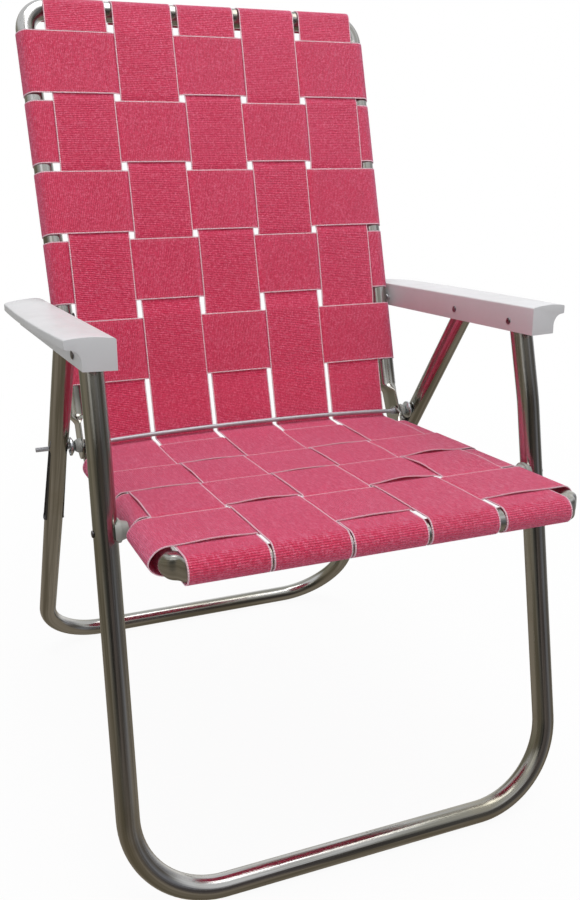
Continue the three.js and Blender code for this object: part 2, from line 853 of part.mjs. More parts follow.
add('front_leg', frontLeg());
add('rear_leg', rearLeg());
add('seat_frame', seatFrame());
add('back_frame', backFrame());
add('hinge_rod', hingeRod());
addPair('armrest', armrest());
addPair('slot_liner', slotLiner());
addPair('seat_spacer', seatSpacer());
addPair('seat_bolt', seatBolt());
addPair('rod_spacer', rodSpacer());
addPair('cup_washer', cupWasher());
addPair('front_arm_bolt', frontArmBolt());
addPair('rear_arm_bolt', rearArmBolt());
addPair('back_arm_bolt', backArmBolt());
addPair('back_arm_washer', backArmWasher());
for (let number = 0; number < long_strap_count; number++) {
  add(`seat_strap_long_${number + 1}`, seatLongStrap(number));
  add(`back_strap_long_${number + 1}`, backLongStrap(number));
}
seat_row_places.forEach((_, row) => add(`seat_strap_cross_${row + 1}`, seatCrossStrap(row)));
back_row_places.forEach((_, row) => add(`back_strap_cross_${row + 1}`, backCrossStrap(row)));

export default chair;
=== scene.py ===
"""Folding webbed lawn chair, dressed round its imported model. Metres; +Z up, +Y to the rear."""
import math

import bmesh
import bpy
import numpy as np
from mathutils import Matrix, Vector


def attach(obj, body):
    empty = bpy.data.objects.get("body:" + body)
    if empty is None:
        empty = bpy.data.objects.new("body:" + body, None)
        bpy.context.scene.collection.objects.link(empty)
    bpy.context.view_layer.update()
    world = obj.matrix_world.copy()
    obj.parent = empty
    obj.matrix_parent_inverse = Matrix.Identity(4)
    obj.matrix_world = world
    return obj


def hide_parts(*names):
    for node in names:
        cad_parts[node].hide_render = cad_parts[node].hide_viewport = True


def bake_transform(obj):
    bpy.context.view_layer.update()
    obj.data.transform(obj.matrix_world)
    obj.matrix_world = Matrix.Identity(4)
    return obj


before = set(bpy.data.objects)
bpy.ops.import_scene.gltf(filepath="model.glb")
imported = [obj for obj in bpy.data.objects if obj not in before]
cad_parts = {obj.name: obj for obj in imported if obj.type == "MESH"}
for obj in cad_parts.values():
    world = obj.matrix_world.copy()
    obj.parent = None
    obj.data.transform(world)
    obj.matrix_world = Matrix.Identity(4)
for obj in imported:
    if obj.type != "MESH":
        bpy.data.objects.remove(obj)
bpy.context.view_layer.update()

MM = 0.001
QUARTER = math.pi / 2
WELD_REACH = MM / 1000

# Width between the seat's rails, which the other frames follow
RAIL_SPACING = 390 * MM
SEAT_HALF = RAIL_SPACING / 2

# Tube stock and how finely curves are divided
TUBE_R = 11.1 * MM
TUBE_SIDES = 40
BEND_STEPS = 22
TUBE_STEP = 20 * MM
BAR_FACETS = 16
BAR_HEIGHT = TUBE_R * math.cos(math.pi / BAR_FACETS)

# Front leg
FRONT_FOOT_HALF = SEAT_HALF + 37.85 * MM
FRONT_PIVOT_HALF = SEAT_HALF + 30.3 * MM
FRONT_LOWER_LEAN = 0.21
FRONT_UPPER_LEAN = 0.2975
FRONT_KNEE_HEIGHT = 435.2 * MM
FRONT_PIVOT_HEIGHT = 515.7 * MM
KNEE_BEND_R = 260 * MM
FRONT_BEND_R = 88 * MM
LEG_END = 5 * MM

# Rear leg
REAR_HALF = SEAT_HALF + 33.5 * MM
REAR_BEND_R = 82 * MM
REAR_FOOT_Y = 537.4 * MM
REAR_LEAN = 0.643
REAR_PIVOT_HEIGHT = 512.2 * MM

# Seat frame
SEAT_FRONT_Y = -36.2 * MM
SEAT_FRONT_HEIGHT = 367.7 * MM
SEAT_SLOPE = -0.051
SEAT_BEND_R = 20 * MM
SEAT_TUBE_LENGTH = 318.5 * MM

# Hinge rod
ROD_R = 2.5 * MM
ROD_HEIGHT = 367.9 * MM
ROD_LEFT_REACH = 253 * MM
ROD_RIGHT_REACH = 241.5 * MM
ROD_BOW = 5.5 * MM
ROD_BOW_POWER = 0.8
ROD_BOW_STEPS = 20
ROD_SHIFT = (0, -1.3 * MM, 2.1 * MM)
COLLAR_R = 4.2 * MM
COLLAR_LENGTH = 3.4 * MM
COLLAR_GROOVE = 1 * MM
ROD_EDGE = 0.25 * MM

# Back frame
BACK_ROD_OFFSET = 17 * MM
BACK_LEAN = 0.3463
BACK_LENGTH = 503.2 * MM
BACK_TOP_HALF = SEAT_HALF + 12.5 * MM
BACK_LOW_HALF = SEAT_HALF + 6 * MM
BACK_BEND_R = 27 * MM
BACK_TUBE_FOOT = 38 * MM
BACK_PIVOT_DISTANCE = 149.2 * MM

# Flattened ends of the seat and back tubes
PLATE_HALF_THICK = 1.3 * MM
PLATE_HALF_WIDTH = 16.5 * MM
PLATE_GAP = 0.6 * MM
PLATE_TAPER = 12 * MM
PLATE_END_REACH = 14 * MM
SEAT_PLATE_RISE = 9.3 * MM
BACK_PLATE_RISE = 8 * MM
PLATE_POWER = 7
TAPER_STEPS = 8
PLATE_STEPS = 5
PLATE_END_STEPS = 10
PLATE_END_TURN = 1.45
CRUSH_SHARE = 0.27
CRUSH_RIPPLE_SHARE = 0.06
CRUSH_RIPPLES = 9
CRUSH_POWER = 2.2

# Webbing
STRAP_WIDTH = 71.5 * MM
STRAP_THICKNESS = 0.8 * MM
STRAP_GAP = 0.15 * MM
STRAP_TAIL = 9 * MM
TAIL_SHARES = (1, 0.66, 0.33)
FRONT_LOOSE_SHARE = 0.5
WEAVE_PLANE = 13.1 * MM
WEAVE_RISE = 0.65 * MM
CREASE_R = 4.2 * MM
CREASE_LIFT_REACH = 45 * MM
LONG_COUNT = 5
FRONT_PITCH = 73.8 * MM
CREASE_PITCH = 75.8 * MM
TOP_PITCH = 79 * MM
FRONT_CENTRE = -7.1 * MM
FRONT_SHIFTS = [shift * MM for shift in (1.0, 0.1, -0.7, -0.9, 2.4)]
FRONT_WIDTHS = [width * MM for width in (71.3, 70.6, 71.3, 69.4, 71.2)]
CREASE_CENTRE = -4 * MM
TOP_CENTRE = 7 * MM
BACK_ROWS = [middle * MM for middle in (437.2, 357.5, 276.5, 197, 105)]
SEAT_ROWS = [middle * MM for middle in (57, 136, 209.2, 282)]
ACROSS_STEPS = 14
WRAP_STEPS = 18
WRAP_EASE_TURN = 1.1
PLATEAU_STEPS = 16
GAP_STEPS = 6
CREASE_GAP_STEPS = 5
CREASE_STEPS = 10

# The weave's pattern on the webbing
RIB_PITCH = 1.25 * MM
PICK_PITCH = 2.1 * MM
PICK_WAVER = 1.6 * MM
# The pale band along each strap edge: partly the selvedge's paler yarn, partly a painted highlight where the
# edges catch light.
SELVEDGE_AND_EDGE_HIGHLIGHT = 1.5 * MM
SELVEDGE_AND_EDGE_HIGHLIGHT_INNER = SELVEDGE_AND_EDGE_HIGHLIGHT * 0.7
SECOND_LINE = 3.4 * MM
SECOND_LINE_FAR = 0.7 * MM
SECOND_LINE_NEAR = 0.2 * MM

# How deep the materials' fine relief is
METAL_RELIEF = 0.4 * MM
STEEL_RELIEF = 0.1 * MM
PLASTIC_RELIEF = 0.15 * MM
WEBBING_RELIEF = 0.4 * MM

# Armrest
ARM_SLOPE = -0.047
ARM_INNER_X = SEAT_HALF + 15.9 * MM
ARM_FLARE = 0.0238
ARM_WALL = 2.6 * MM
ARM_CHANNEL = 24 * MM
ARM_FRONT_REACH = 40 * MM
ARM_FRONT_SKEW = 7 * MM
ARM_REAR_OVERHANG = 41 * MM
ARM_CHANNEL_OVERHANG = 18 * MM
ARM_WIDEST_LEAD = 25 * MM
ARM_END_WALL = 9 * MM
ARM_RISE = 17.5 * MM
ARM_DROP = 10 * MM
ARM_ROOF = 3.2 * MM
ARM_CROWN = 1.6 * MM
ARM_LIP = 8.5 * MM
ARM_LIP_FRONT_X = SEAT_HALF + 58 * MM
ARM_LIP_WIDEST_X = SEAT_HALF + 71 * MM
ARM_CORNER_R = 30 * MM
ARM_EDGE = 1.6 * MM
ARM_LIP_LEAST = 6.4 * MM
ARM_SOFT_EDGE = 0.7 * MM
ARM_STEPS = 24
ARM_SKEW_STEPS = 3
ARM_TOP_STEPS = 12
ARM_EDGE_STEPS = 6
ARM_LIP_STEPS = 4
COVE_STEPS = 12
ARM_CORNER_PARTS = 14.4
COVE_WIDTH = 13 * MM
COVE_FOOT = -2 * MM

# Bolts, washers and spacers; heads and the nut by radius and height
BOLT_R = 2.5 * MM
HEAD = (4.5 * MM, 2 * MM)
SMALL_HEAD = (3.4 * MM, 1.3 * MM)
NUT = (8 * MM, 2.4 * MM)
DOME_RIM_SHARE = 0.25
DOME_STEPS = 6
SMALL_EDGE = 0.2 * MM
PLASTIC_EDGE = 0.3 * MM
WASHER_R = 4.5 * MM
BLIND = 1.4 * MM
SEAT_GAP = 0.3 * MM
SPACER_RAIL_R = 7.5 * MM
SPACER_LEG_R = 11 * MM
SPACER_SADDLE = 4 * MM
SPACER_NECK_SHARE = 0.75
SPACER_NECK_R_SHARE = 0.55
SPACER_HEAD_SHARE = 0.8
ROD_SPACER_R = 8 * MM
ROD_SPACER_END_R = 6 * MM
ROD_SPACER_LENGTH = 7.1 * MM
ROD_SPACER_EDGE = 0.4 * MM
CUP_R = 10.5 * MM
CUP_HUB_R = 4.5 * MM
CUP_THICKNESS = 1 * MM
CUP_RIM = 2 * MM
SLOT_PLAY = 2.8 * MM
SLOT_TRAVEL = 122 * MM
SLOT_END_STEPS = 12
LINER_WALL = 1 * MM
LINER_STAND = 1.4 * MM
LINER_LEAST = -0.5 * MM
SCREW_R = 3.3 * MM
SCREW_H = 1.8 * MM
SCREW_SIDES = 12
SCREW_SHARES = ((1, 0), (1, 0.35), (0.85, 0.75), (0.5, 0.96), (0.3, 1), (0.3, 0.6))

# The camera that the photograph was taken with
CAMERA_PLACE = (-376.8 * MM, -660.1 * MM, 682.4 * MM)
CAMERA_YAW = math.radians(20.42)
CAMERA_PITCH = math.radians(18.17)
CAMERA_ROLL = math.radians(-0.12)
IMAGE_WIDTH = 580
IMAGE_HEIGHT = 900
FOCAL_PIXELS = 906.34
CENTRE_PIXELS = (236.39, 449.01)
SENSOR_HEIGHT = 24
NEAREST_SEEN = 10 * MM

# Lamps: name, place and target in metres, size in metres, power in watts
LAMPS = (
    ("overhead", (0.1, 0, 2.4), (0, 0.2, 0.3), (1.8, 1.8), 34),
    ("window", (-2.0, -1.8, 1.7), (0, 0.2, 0.4), (1.2, 1.6), 3),
)

# The studio's floor: half its size, how far it lies under the feet, and where its glow fades to white
FLOOR_HALF = 6000 * MM
FLOOR_DROP = 0.3 * MM
FLOOR_NEAR = 700 * MM
FLOOR_FAR = 2000 * MM
FLOOR_GLOW_SHARE = 0.94

# Walls that polished metal mirrors: share of a turn from the chair's left round its front, and colour
WALL_SHARES = (
    (0, (0.27, 0.24, 0.18)),
    (0.07, (0.23, 0.21, 0.17)),
    (0.14, (0.09, 0.09, 0.08)),
    (0.175, (0.02, 0.02, 0.02)),
    (0.22, (0.15, 0.13, 0.12)),
    (0.3, (0.08, 0.07, 0.07)),
    (0.36, (0.24, 0.25, 0.28)),
    (0.44, (0.13, 0.12, 0.11)),
    (0.53, (0.4, 0.41, 0.45)),
    (0.62, (1, 1, 1)),
    (0.7, (1, 1, 1)),
    (0.77, (0.36, 0.34, 0.29)),
    (0.88, (0.26, 0.25, 0.19)),
    (1, (0.27, 0.24, 0.18)),
)
CEILING = (0.85, 0.87, 0.9)
GROUND = (0.27, 0.235, 0.185)
SKY_LOW = (0.1, 0.1, 0.1)
SKY_HIGH = (0.78, 0.78, 0.79)


def place(x, y, z):
    return np.array([x, y, z], float)


def unit(v):
    return v / np.linalg.norm(v)


def between(a, b, share):
    return a + (b - a) * share


def ease(share):
    share = float(min(max(share, 0), 1))
    return share * share * (3 - 2 * share)


def shares(count):
    return [k / count for k in range(count + 1)]


def quarter_arc(steps):
    """Cosine and sine at even steps of a quarter turn, with both its ends."""
    angles = [QUARTER * k / steps for k in range(steps + 1)]
    return [(math.cos(angle), math.sin(angle)) for angle in angles]


class SideLine:
    """A straight line in side view: distance runs along it and height stands square to it."""

    def __init__(self, y, z, run_y, run_z):
        self.start = place(0, y, z)
        self.along = unit(place(0, run_y, run_z))
        self.square = place(0, -self.along[2], self.along[1])

    def at(self, x, distance, height):
        return self.start + place(x, 0, 0) + self.along * distance + self.square * height


def front_leg_place(height):
    lower = min(height, FRONT_KNEE_HEIGHT) - BAR_HEIGHT
    upper = max(height - FRONT_KNEE_HEIGHT, 0)
    share = (height - BAR_HEIGHT) / (FRONT_PIVOT_HEIGHT - BAR_HEIGHT)
    half = between(FRONT_FOOT_HALF, FRONT_PIVOT_HALF, share)
    return place(half, lower * FRONT_LOWER_LEAN + upper * FRONT_UPPER_LEAN, height)


def rear_leg_place(height):
    return place(REAR_HALF, REAR_FOOT_Y - REAR_LEAN * (height - BAR_HEIGHT), height)


front_pivot = front_leg_place(FRONT_PIVOT_HEIGHT)
rear_pivot = rear_leg_place(REAR_PIVOT_HEIGHT)
rod_centre = rear_leg_place(ROD_HEIGHT)
seat_line = SideLine(SEAT_FRONT_Y, SEAT_FRONT_HEIGHT, 1, SEAT_SLOPE)
rod_on_seat = float((rod_centre - seat_line.at(rod_centre[0], 0, 0)) @ seat_line.along)
back_slant = SideLine(rod_centre[1], rod_centre[2], BACK_LEAN, 1)
back_foot = back_slant.at(0, 0, -BACK_ROD_OFFSET)
back_line = SideLine(back_foot[1], back_foot[2], BACK_LEAN, 1)
rod_rest = rod_centre + place(*ROD_SHIFT)
back_plate_x = BACK_LOW_HALF
seat_plate_x = back_plate_x - 2 * PLATE_HALF_THICK - PLATE_GAP


def back_half(distance):
    share = (distance - BACK_TUBE_FOOT) / (BACK_LENGTH - BACK_TUBE_FOOT)
    return between(BACK_LOW_HALF, BACK_TOP_HALF, share)


back_pivot = back_line.at(back_half(BACK_PIVOT_DISTANCE), BACK_PIVOT_DISTANCE, 0)
seat_level = SEAT_FRONT_HEIGHT - SEAT_SLOPE * (SEAT_FRONT_Y + FRONT_LOWER_LEAN * BAR_HEIGHT)
seat_pivot = front_leg_place(seat_level / (1 - SEAT_SLOPE * FRONT_LOWER_LEAN))
arm_line = SideLine(front_pivot[1], front_pivot[2], 1, ARM_SLOPE)
arm_back_pivot = float((back_pivot - front_pivot) @ arm_line.along)
arm_rear_pivot = float((rear_pivot - front_pivot) @ arm_line.along)
arm_rear_reach = arm_back_pivot + ARM_REAR_OVERHANG
arm_channel_rear = arm_back_pivot + ARM_CHANNEL_OVERHANG
arm_widest = arm_back_pivot - ARM_WIDEST_LEAD


# Mesh making
def new_object(name, vertices, faces):
    mesh = bpy.data.meshes.new(name)
    mesh.from_pydata([tuple(v) for v in vertices], [], faces)
    mesh.update()
    obj = bpy.data.objects.new(name, mesh)
    bpy.context.scene.collection.objects.link(obj)
    return obj


def grid_faces(rows, columns, closed):
    faces = []
    for i in range(rows - 1):
        for k in range(columns if closed else columns - 1):
            a = i * columns + k
            b = i * columns + (k + 1) % columns
            faces.append((a, b, b + columns, a + columns))
    return faces


def give_uv(obj, coordinates):
    """A UV map in metres, from one pair for each vertex."""
    layer = obj.data.uv_layers.new(name="Surface")
    for loop in obj.data.loops:
        layer.data[loop.index].uv = coordinates[loop.vertex_index]


def end_faces(rows, columns, sides):
    """A face over the first row of a grid and one over its last, each of a number of sides."""
    last = (rows - 1) * columns
    return [tuple(range(sides))[::-1], tuple(last + k for k in range(sides))]


def outward(obj, weld=False):
    work = bmesh.new()
    work.from_mesh(obj.data)
    if weld:
        bmesh.ops.remove_doubles(work, verts=work.verts, dist=WELD_REACH)
    bmesh.ops.recalc_face_normals(work, faces=work.faces)
    work.to_mesh(obj.data)
    work.free()


def keep_modified(obj):
    """The mesh with its modifiers made part of it."""
    graph = bpy.context.evaluated_depsgraph_get()
    mesh = bpy.data.meshes.new_from_object(obj.evaluated_get(graph))
    obj.modifiers.clear()
    obj.data = mesh


def smooth(obj, degrees=35):
    obj.data.shade_smooth()
    obj.data.set_sharp_from_angle(angle=math.radians(degrees))


def soften(obj, width, segments=2, degrees=35):
    bevel = obj.modifiers.new("Edges", "BEVEL")
    bevel.width = width
    bevel.segments = segments
    bevel.limit_method = "ANGLE"
    bevel.angle_limit = math.radians(degrees)
    keep_modified(obj)
    smooth(obj, degrees)


def cut(obj, tools):
    for tool in tools:
        boolean = obj.modifiers.new("Cut", "BOOLEAN")
        boolean.operation = "DIFFERENCE"
        boolean.solver = "EXACT"
        boolean.object = tool
    keep_modified(obj)
    for tool in tools:
        bpy.data.objects.remove(tool)


def loft(name, rings):
    columns = len(rings[0])
    faces = grid_faces(len(rings), columns, True) + end_faces(len(rings), columns, columns)
    obj = new_object(name, [p for ring in rings for p in ring], faces)
    outward(obj)
    return obj


def turned(name, profile, centre, side=1, sides=40):
    """A solid of revolution about an axis along X, from places along X and radii."""
    points = []
    for x, r in profile[:-1] if profile[0] == profile[-1] else profile:
        for k in range(sides):
            angle = 2 * math.pi * k / sides
            points.append(place(side * x, centre[1] + r * math.cos(angle), centre[2] + r * math.sin(angle)))
    faces = [tuple(i % len(points) for i in face) for face in grid_faces(len(profile), sides, True)]
    obj = new_object(name, points, faces)
    outward(obj, weld=True)
    return obj


# Tubes
def route(corners, radii):
    """Stations along straight runs whose corners are rounded."""
    stations = [(corners[0], unit(corners[1] - corners[0]))]
    for i, r in enumerate(radii):
        arrive = unit(corners[i + 1] - corners[i])
        leave = unit(corners[i + 2] - corners[i + 1])
        turn = math.acos(float(np.clip(arrive @ leave, -1, 1)))
        axis = unit(np.cross(arrive, leave))
        spoke = np.cross(arrive, axis) * r
        centre = corners[i + 1] - arrive * r * math.tan(turn / 2) - spoke
        steps = math.ceil(BEND_STEPS * turn / QUARTER)
        for k in range(steps + 1):
            turned_by = np.array(Matrix.Rotation(turn * k / steps, 3, Vector(axis)))
            stations.append((centre + turned_by @ spoke, turned_by @ arrive))
    stations.append((corners[-1], unit(corners[-1] - corners[-2])))
    return stations


def evenly(stations):
    """Extra stations on the straight runs, so that no step is too long."""
    result = [stations[0]]
    for (at, along), (to, to_along) in zip(stations, stations[1:]):
        count = max(1, math.ceil(np.linalg.norm(to - at) / TUBE_STEP))
        for share in shares(count)[1:]:
            result.append((between(at, to, share), unit(between(along, to_along, share))))
    return result


def both_sides(right):
    flip = place(-1, 1, 1)
    left = [(at * flip, -along * flip, *rest) for at, along, *rest in right]
    return left[::-1] + right


def station(at, along, half_u=TUBE_R, half_v=TUBE_R, power=2):
    """A tube's section: place, direction, half sizes, and a power that is 2 for round."""
    return at, along, half_u, half_v, power


def half_tube(corners, radii):
    """Sections of a round tube on one side of the middle, through rounded corners."""
    return [station(at, along) for at, along in evenly(route(corners, radii))[1:]]


def tube(name, stations, normal):
    """A tube through stations, with a UV map in metres: round it, then along it."""
    vertices, coordinates, run, before = [], [], 0.0, stations[0][0]
    columns = TUBE_SIDES + 1
    for at, along, half_u, half_v, power in stations:
        run += float(np.linalg.norm(at - before))
        before = at
        u = unit(normal - along * float(normal @ along))
        v = np.cross(along, u)
        for k in range(columns):
            angle = 2 * math.pi * k / TUBE_SIDES
            across, up = math.cos(angle), math.sin(angle)
            across = math.copysign(abs(across) ** (2 / power), across) * half_u
            up = math.copysign(abs(up) ** (2 / power), up) * half_v
            vertices.append(at + u * across + v * up)
            coordinates.append((angle * TUBE_R, run))
    faces = grid_faces(len(stations), columns, False) + end_faces(len(stations), columns, TUBE_SIDES)
    obj = new_object(name, vertices, faces)
    give_uv(obj, coordinates)
    outward(obj, weld=True)
    smooth(obj)
    return obj


front_lean = math.atan(FRONT_LOWER_LEAN)
rear_lean = math.atan(REAR_LEAN)
front_normal = place(0, -math.cos(front_lean), math.sin(front_lean))
slot_down = place(0, math.sin(rear_lean), -math.cos(rear_lean))
slot_across = place(0, math.cos(rear_lean), math.sin(rear_lean))
liner_bore = ROD_R + SLOT_PLAY
liner_half = liner_bore + LINER_WALL


def front_leg():
    foot = front_leg_place(BAR_HEIGHT)
    top = front_leg_place(FRONT_PIVOT_HEIGHT + LEG_END)
    corners = [place(0, foot[1], foot[2]), foot, front_leg_place(FRONT_KNEE_HEIGHT), top]
    return tube("front_leg_tube", both_sides(half_tube(corners, [FRONT_BEND_R, KNEE_BEND_R])), front_normal)


def slot_ring(half_width, x, side):
    centre = place(side * x, rod_centre[1], rod_centre[2])
    ring = []
    for end, start_angle in ((SLOT_TRAVEL, -QUARTER), (0, QUARTER)):
        for k in range(SLOT_END_STEPS + 1):
            angle = start_angle + math.pi * k / SLOT_END_STEPS
            below = slot_down * (end + half_width * math.cos(angle))
            ring.append(centre + below + slot_across * half_width * math.sin(angle))
    return ring


def rear_leg():
    foot = rear_leg_place(BAR_HEIGHT)
    top = rear_leg_place(REAR_PIVOT_HEIGHT + LEG_END)
    right = half_tube([place(0, foot[1], foot[2]), foot, top], [REAR_BEND_R])
    obj = tube("rear_leg_tube", both_sides(right), -slot_across)
    reach = 2 * TUBE_R
    tools = []
    for side in (-1, 1):
        rings = [slot_ring(liner_half + SEAT_GAP, REAR_HALF + x, side) for x in (-reach, reach)]
        tools.append(loft("slot_tool", rings))
    cut(obj, tools)
    smooth(obj)
    return obj


def slot_liner(side):
    """A sleeve through the slot that stands out of the round tube, less so at its lower end."""
    stand = TUBE_R + LINER_STAND
    sleeve = [slot_ring(liner_half, REAR_HALF + x, side) for x in (-stand, stand)]
    bore = [slot_ring(liner_bore, REAR_HALF + 2 * x, side) for x in (-stand, stand)]
    outer = loft(f"slot_liner_sleeve_{side_name(side)}", sleeve)
    cut(outer, [loft("liner_tool", bore)])
    soften(outer, PLASTIC_EDGE)
    for vertex in outer.data.vertices:
        off = vertex.co.x - side * REAR_HALF
        down = (rod_centre[2] - vertex.co.z) / (SLOT_TRAVEL * math.cos(rear_lean))
        beside = (np.array(vertex.co) - rod_centre) @ slot_across
        kept = math.sqrt(max(TUBE_R ** 2 - beside ** 2, 0))
        kept += LINER_LEAST + (LINER_STAND - LINER_LEAST) * ease(down)
        vertex.co.x = side * REAR_HALF + math.copysign(min(abs(off), kept), off)
    return outer


def flat_end(line, plate_x, tube_x, start, rod_at, travel, rise):
    """Stations from the round tube into the flattened plate and off past the rod."""
    along = line.along * travel
    stations = []
    for share in shares(TAPER_STEPS)[1:]:
        soft = ease(share)
        stations.append(station(
            line.at(between(tube_x, plate_x, soft), start + travel * PLATE_TAPER * share, rise / 2 * soft),
            along,
            between(TUBE_R, PLATE_HALF_WIDTH, soft),
            between(TUBE_R, PLATE_HALF_THICK, soft),
            between(2, PLATE_POWER, soft ** 2),
        ))
    plate = []
    for share in shares(PLATE_STEPS)[1:-1]:
        distance = between(start + travel * PLATE_TAPER, rod_at, share)
        plate.append((distance, between(rise / 2, rise, share), PLATE_HALF_WIDTH))
    for k in range(PLATE_END_STEPS + 1):
        angle = PLATE_END_TURN * k / PLATE_END_STEPS
        distance = rod_at + travel * PLATE_END_REACH * math.sin(angle)
        plate.append((distance, rise, PLATE_HALF_WIDTH * math.cos(angle)))
    for distance, height, half_width in plate:
        at = line.at(plate_x, distance, height)
        stations.append(station(at, along, half_width, PLATE_HALF_THICK, PLATE_POWER))
    return stations


def crushed(stations, line):
    """The same stations with the tube flattened and wrinkled where it turns a corner."""
    result = []
    for at, along, *_ in stations:
        across, ahead = float(along[0]), float(along @ line.along)
        crush = 2 * across * ahead
        ripple = math.sin(CRUSH_RIPPLES * math.atan2(ahead, across)) * CRUSH_RIPPLE_SHARE
        flat = crush * (CRUSH_SHARE + ripple)
        inward = unit(line.along * across - place(ahead, 0, 0))
        at = at + inward * (TUBE_R * flat)
        result.append(station(at, along, TUBE_R, TUBE_R * (1 - flat), 2 + CRUSH_POWER * crush))
    return result


def seat_frame():
    corners = [seat_line.at(x, d, 0) for x, d in ((0, 0), (SEAT_HALF, 0), (SEAT_HALF, SEAT_TUBE_LENGTH))]
    arch = crushed(half_tube(corners, [SEAT_BEND_R]), seat_line)
    flat = flat_end(seat_line, seat_plate_x, SEAT_HALF, SEAT_TUBE_LENGTH, rod_on_seat, 1, SEAT_PLATE_RISE)
    return tube("seat_frame_tube", both_sides(arch + flat), seat_line.square)


def back_frame():
    foot_half = back_half(BACK_TUBE_FOOT)
    turns = ((0, BACK_LENGTH), (BACK_TOP_HALF, BACK_LENGTH), (foot_half, BACK_TUBE_FOOT))
    corners = [back_line.at(x, d, 0) for x, d in turns]
    arch = half_tube(corners, [BACK_BEND_R])
    flat = flat_end(back_line, back_plate_x, foot_half, BACK_TUBE_FOOT, 0, -1, BACK_PLATE_RISE)
    return tube("back_frame_tube", both_sides(arch + flat), back_line.square)


# The rod's bow, which the webbing near it follows
collar_x = seat_plate_x - PLATE_HALF_THICK - SEAT_GAP
rod_span = collar_x - COLLAR_LENGTH


def rod_bow(x):
    share = min(abs(x) / rod_span, 1)
    return ROD_BOW * (1 - share * share) ** ROD_BOW_POWER


# Webbing
wrap_r = TUBE_R + STRAP_GAP + STRAP_THICKNESS / 2

# Where the weave's planes on the seat and on the back meet, by the distance on each
apart = (back_line.at(0, 0, WEAVE_PLANE) - seat_line.at(0, 0, WEAVE_PLANE))[1:]
runs = np.array([seat_line.along[1:], -back_line.along[1:]]).T
crease_seat, crease_back = (float(distance) for distance in np.linalg.solve(runs, apart))
crease_turn = math.acos(float(seat_line.along @ back_line.along))
crease_middle = seat_line.at(0, crease_seat, WEAVE_PLANE)


def over_rod(p):
    away = math.hypot(p[1] - crease_middle[1], p[2] - crease_middle[2]) / CREASE_LIFT_REACH
    return p + place(0, 0, rod_bow(p[0]) * math.exp(-away * away))


def long_span(number, pitch, centre, width):
    middle = centre + (number - (LONG_COUNT - 1) / 2) * pitch
    return middle - width / 2, middle + width / 2


def seat_span(number, distance):
    """The edges of a long strap along X at a distance on the seat."""
    share = distance / crease_seat
    pitch = between(FRONT_PITCH, CREASE_PITCH, share)
    centre = between(FRONT_CENTRE + FRONT_SHIFTS[number], CREASE_CENTRE, share)
    return long_span(number, pitch, centre, between(FRONT_WIDTHS[number], STRAP_WIDTH, share))


def back_span(number, distance):
    share = distance / BACK_LENGTH
    pitch = between(CREASE_PITCH, TOP_PITCH, share)
    return long_span(number, pitch, between(CREASE_CENTRE, TOP_CENTRE, share), STRAP_WIDTH)


def wrap(top_height):
    """Out and height of a strap's turn round a tube, from its tail underneath to the top."""
    path = [(-STRAP_TAIL * share, -wrap_r) for share in TAIL_SHARES]
    for k in range(WRAP_STEPS + 1):
        angle = math.pi * (1 - k / WRAP_STEPS)
        r = wrap_r + (top_height - wrap_r) * ease(1 - angle / WRAP_EASE_TURN)
        path.append((r * math.sin(angle), r * math.cos(angle)))
    return path


# Lift of the upper strap in mm at its low edge, middle and high edge, by the crossing's row and long
# strap; all other crossings have the plain lift
PLAIN_LIFT = (0.25, 0.1, 0.25)
SEAT_LIFTS = {
    (0, 0): (1.5, 0.3, 0.2), (0, 2): (0.9, 0.2, 0.2),
    (0, 4): (1.2, 0.3, 0.2), (1, 0): (1.6, 0.3, 0.2),
    (1, 1): (1.8, 0.3, 0.2), (1, 3): (3.1, 0.8, 0.2),
    (1, 4): (2.2, 0.5, 1.4), (2, 0): (0.8, 0.2, 0.2),
    (2, 1): (1.2, 0.3, 0.3), (2, 2): (1.1, 0.2, 0.2),
    (2, 3): (0.5, 0.2, 1.2), (2, 4): (3.0, 0.8, 0.2),
    (3, 1): (1.1, 0.2, 0.2), (3, 2): (0.8, 0.2, 0.6),
    (3, 3): (1.0, 0.2, 0.2), (3, 4): (0.8, 0.2, 1.2),
}


def lift(heights, along_share, across_share):
    low, middle, high = heights
    edge = 2 * across_share - 1
    rise = middle * (1 - edge ** 2) + (low if edge < 0 else high) * edge ** 2
    return rise * MM * math.sin(math.pi * along_share) ** 2


def slope(start, end, steps):
    """Distances and heights on a soft slope between two of them, without its ends."""
    return [
        (between(start[0], end[0], share), between(start[1], end[1], ease(share)))
        for share in shares(steps)[1:-1]
    ]


def woven(spans, crossings, parity, lifts, across):
    """Distances and heights of a strap, which lies over at crossings of one parity and under at others."""
    path = []
    for (start, end), crossing in zip(spans, crossings):
        over = sum(crossing) % 2 == parity
        level = WEAVE_PLANE + (WEAVE_RISE if over else -WEAVE_RISE)
        if path:
            path += slope(path[-1], (start, level), GAP_STEPS)
        for share in shares(PLATEAU_STEPS):
            rise = lift(lifts.get(crossing, PLAIN_LIFT), share, across) if over else 0
            path.append((between(start, end, share), level + rise))
    return path


def strap_mesh(name, columns):
    """A thin closed strap from its lines of centre points, and its length; UV across, then along it."""
    middle = columns[len(columns) // 2]
    lengths = [0.0]
    for a, b in zip(middle, middle[1:]):
        lengths.append(lengths[-1] + float(np.linalg.norm(b - a)))
    points = [over_rod(p) for line in zip(*columns) for p in line]
    obj = new_object(name, points, grid_faces(len(middle), len(columns), False))
    give_uv(obj, [(STRAP_WIDTH * across, along) for along in lengths for across in shares(ACROSS_STEPS)])
    solid = obj.modifiers.new("Thickness", "SOLIDIFY")
    solid.thickness = STRAP_THICKNESS
    solid.offset = 0
    solid.use_even_offset = True
    keep_modified(obj)
    outward(obj)
    smooth(obj, 50)
    return obj, lengths[-1]


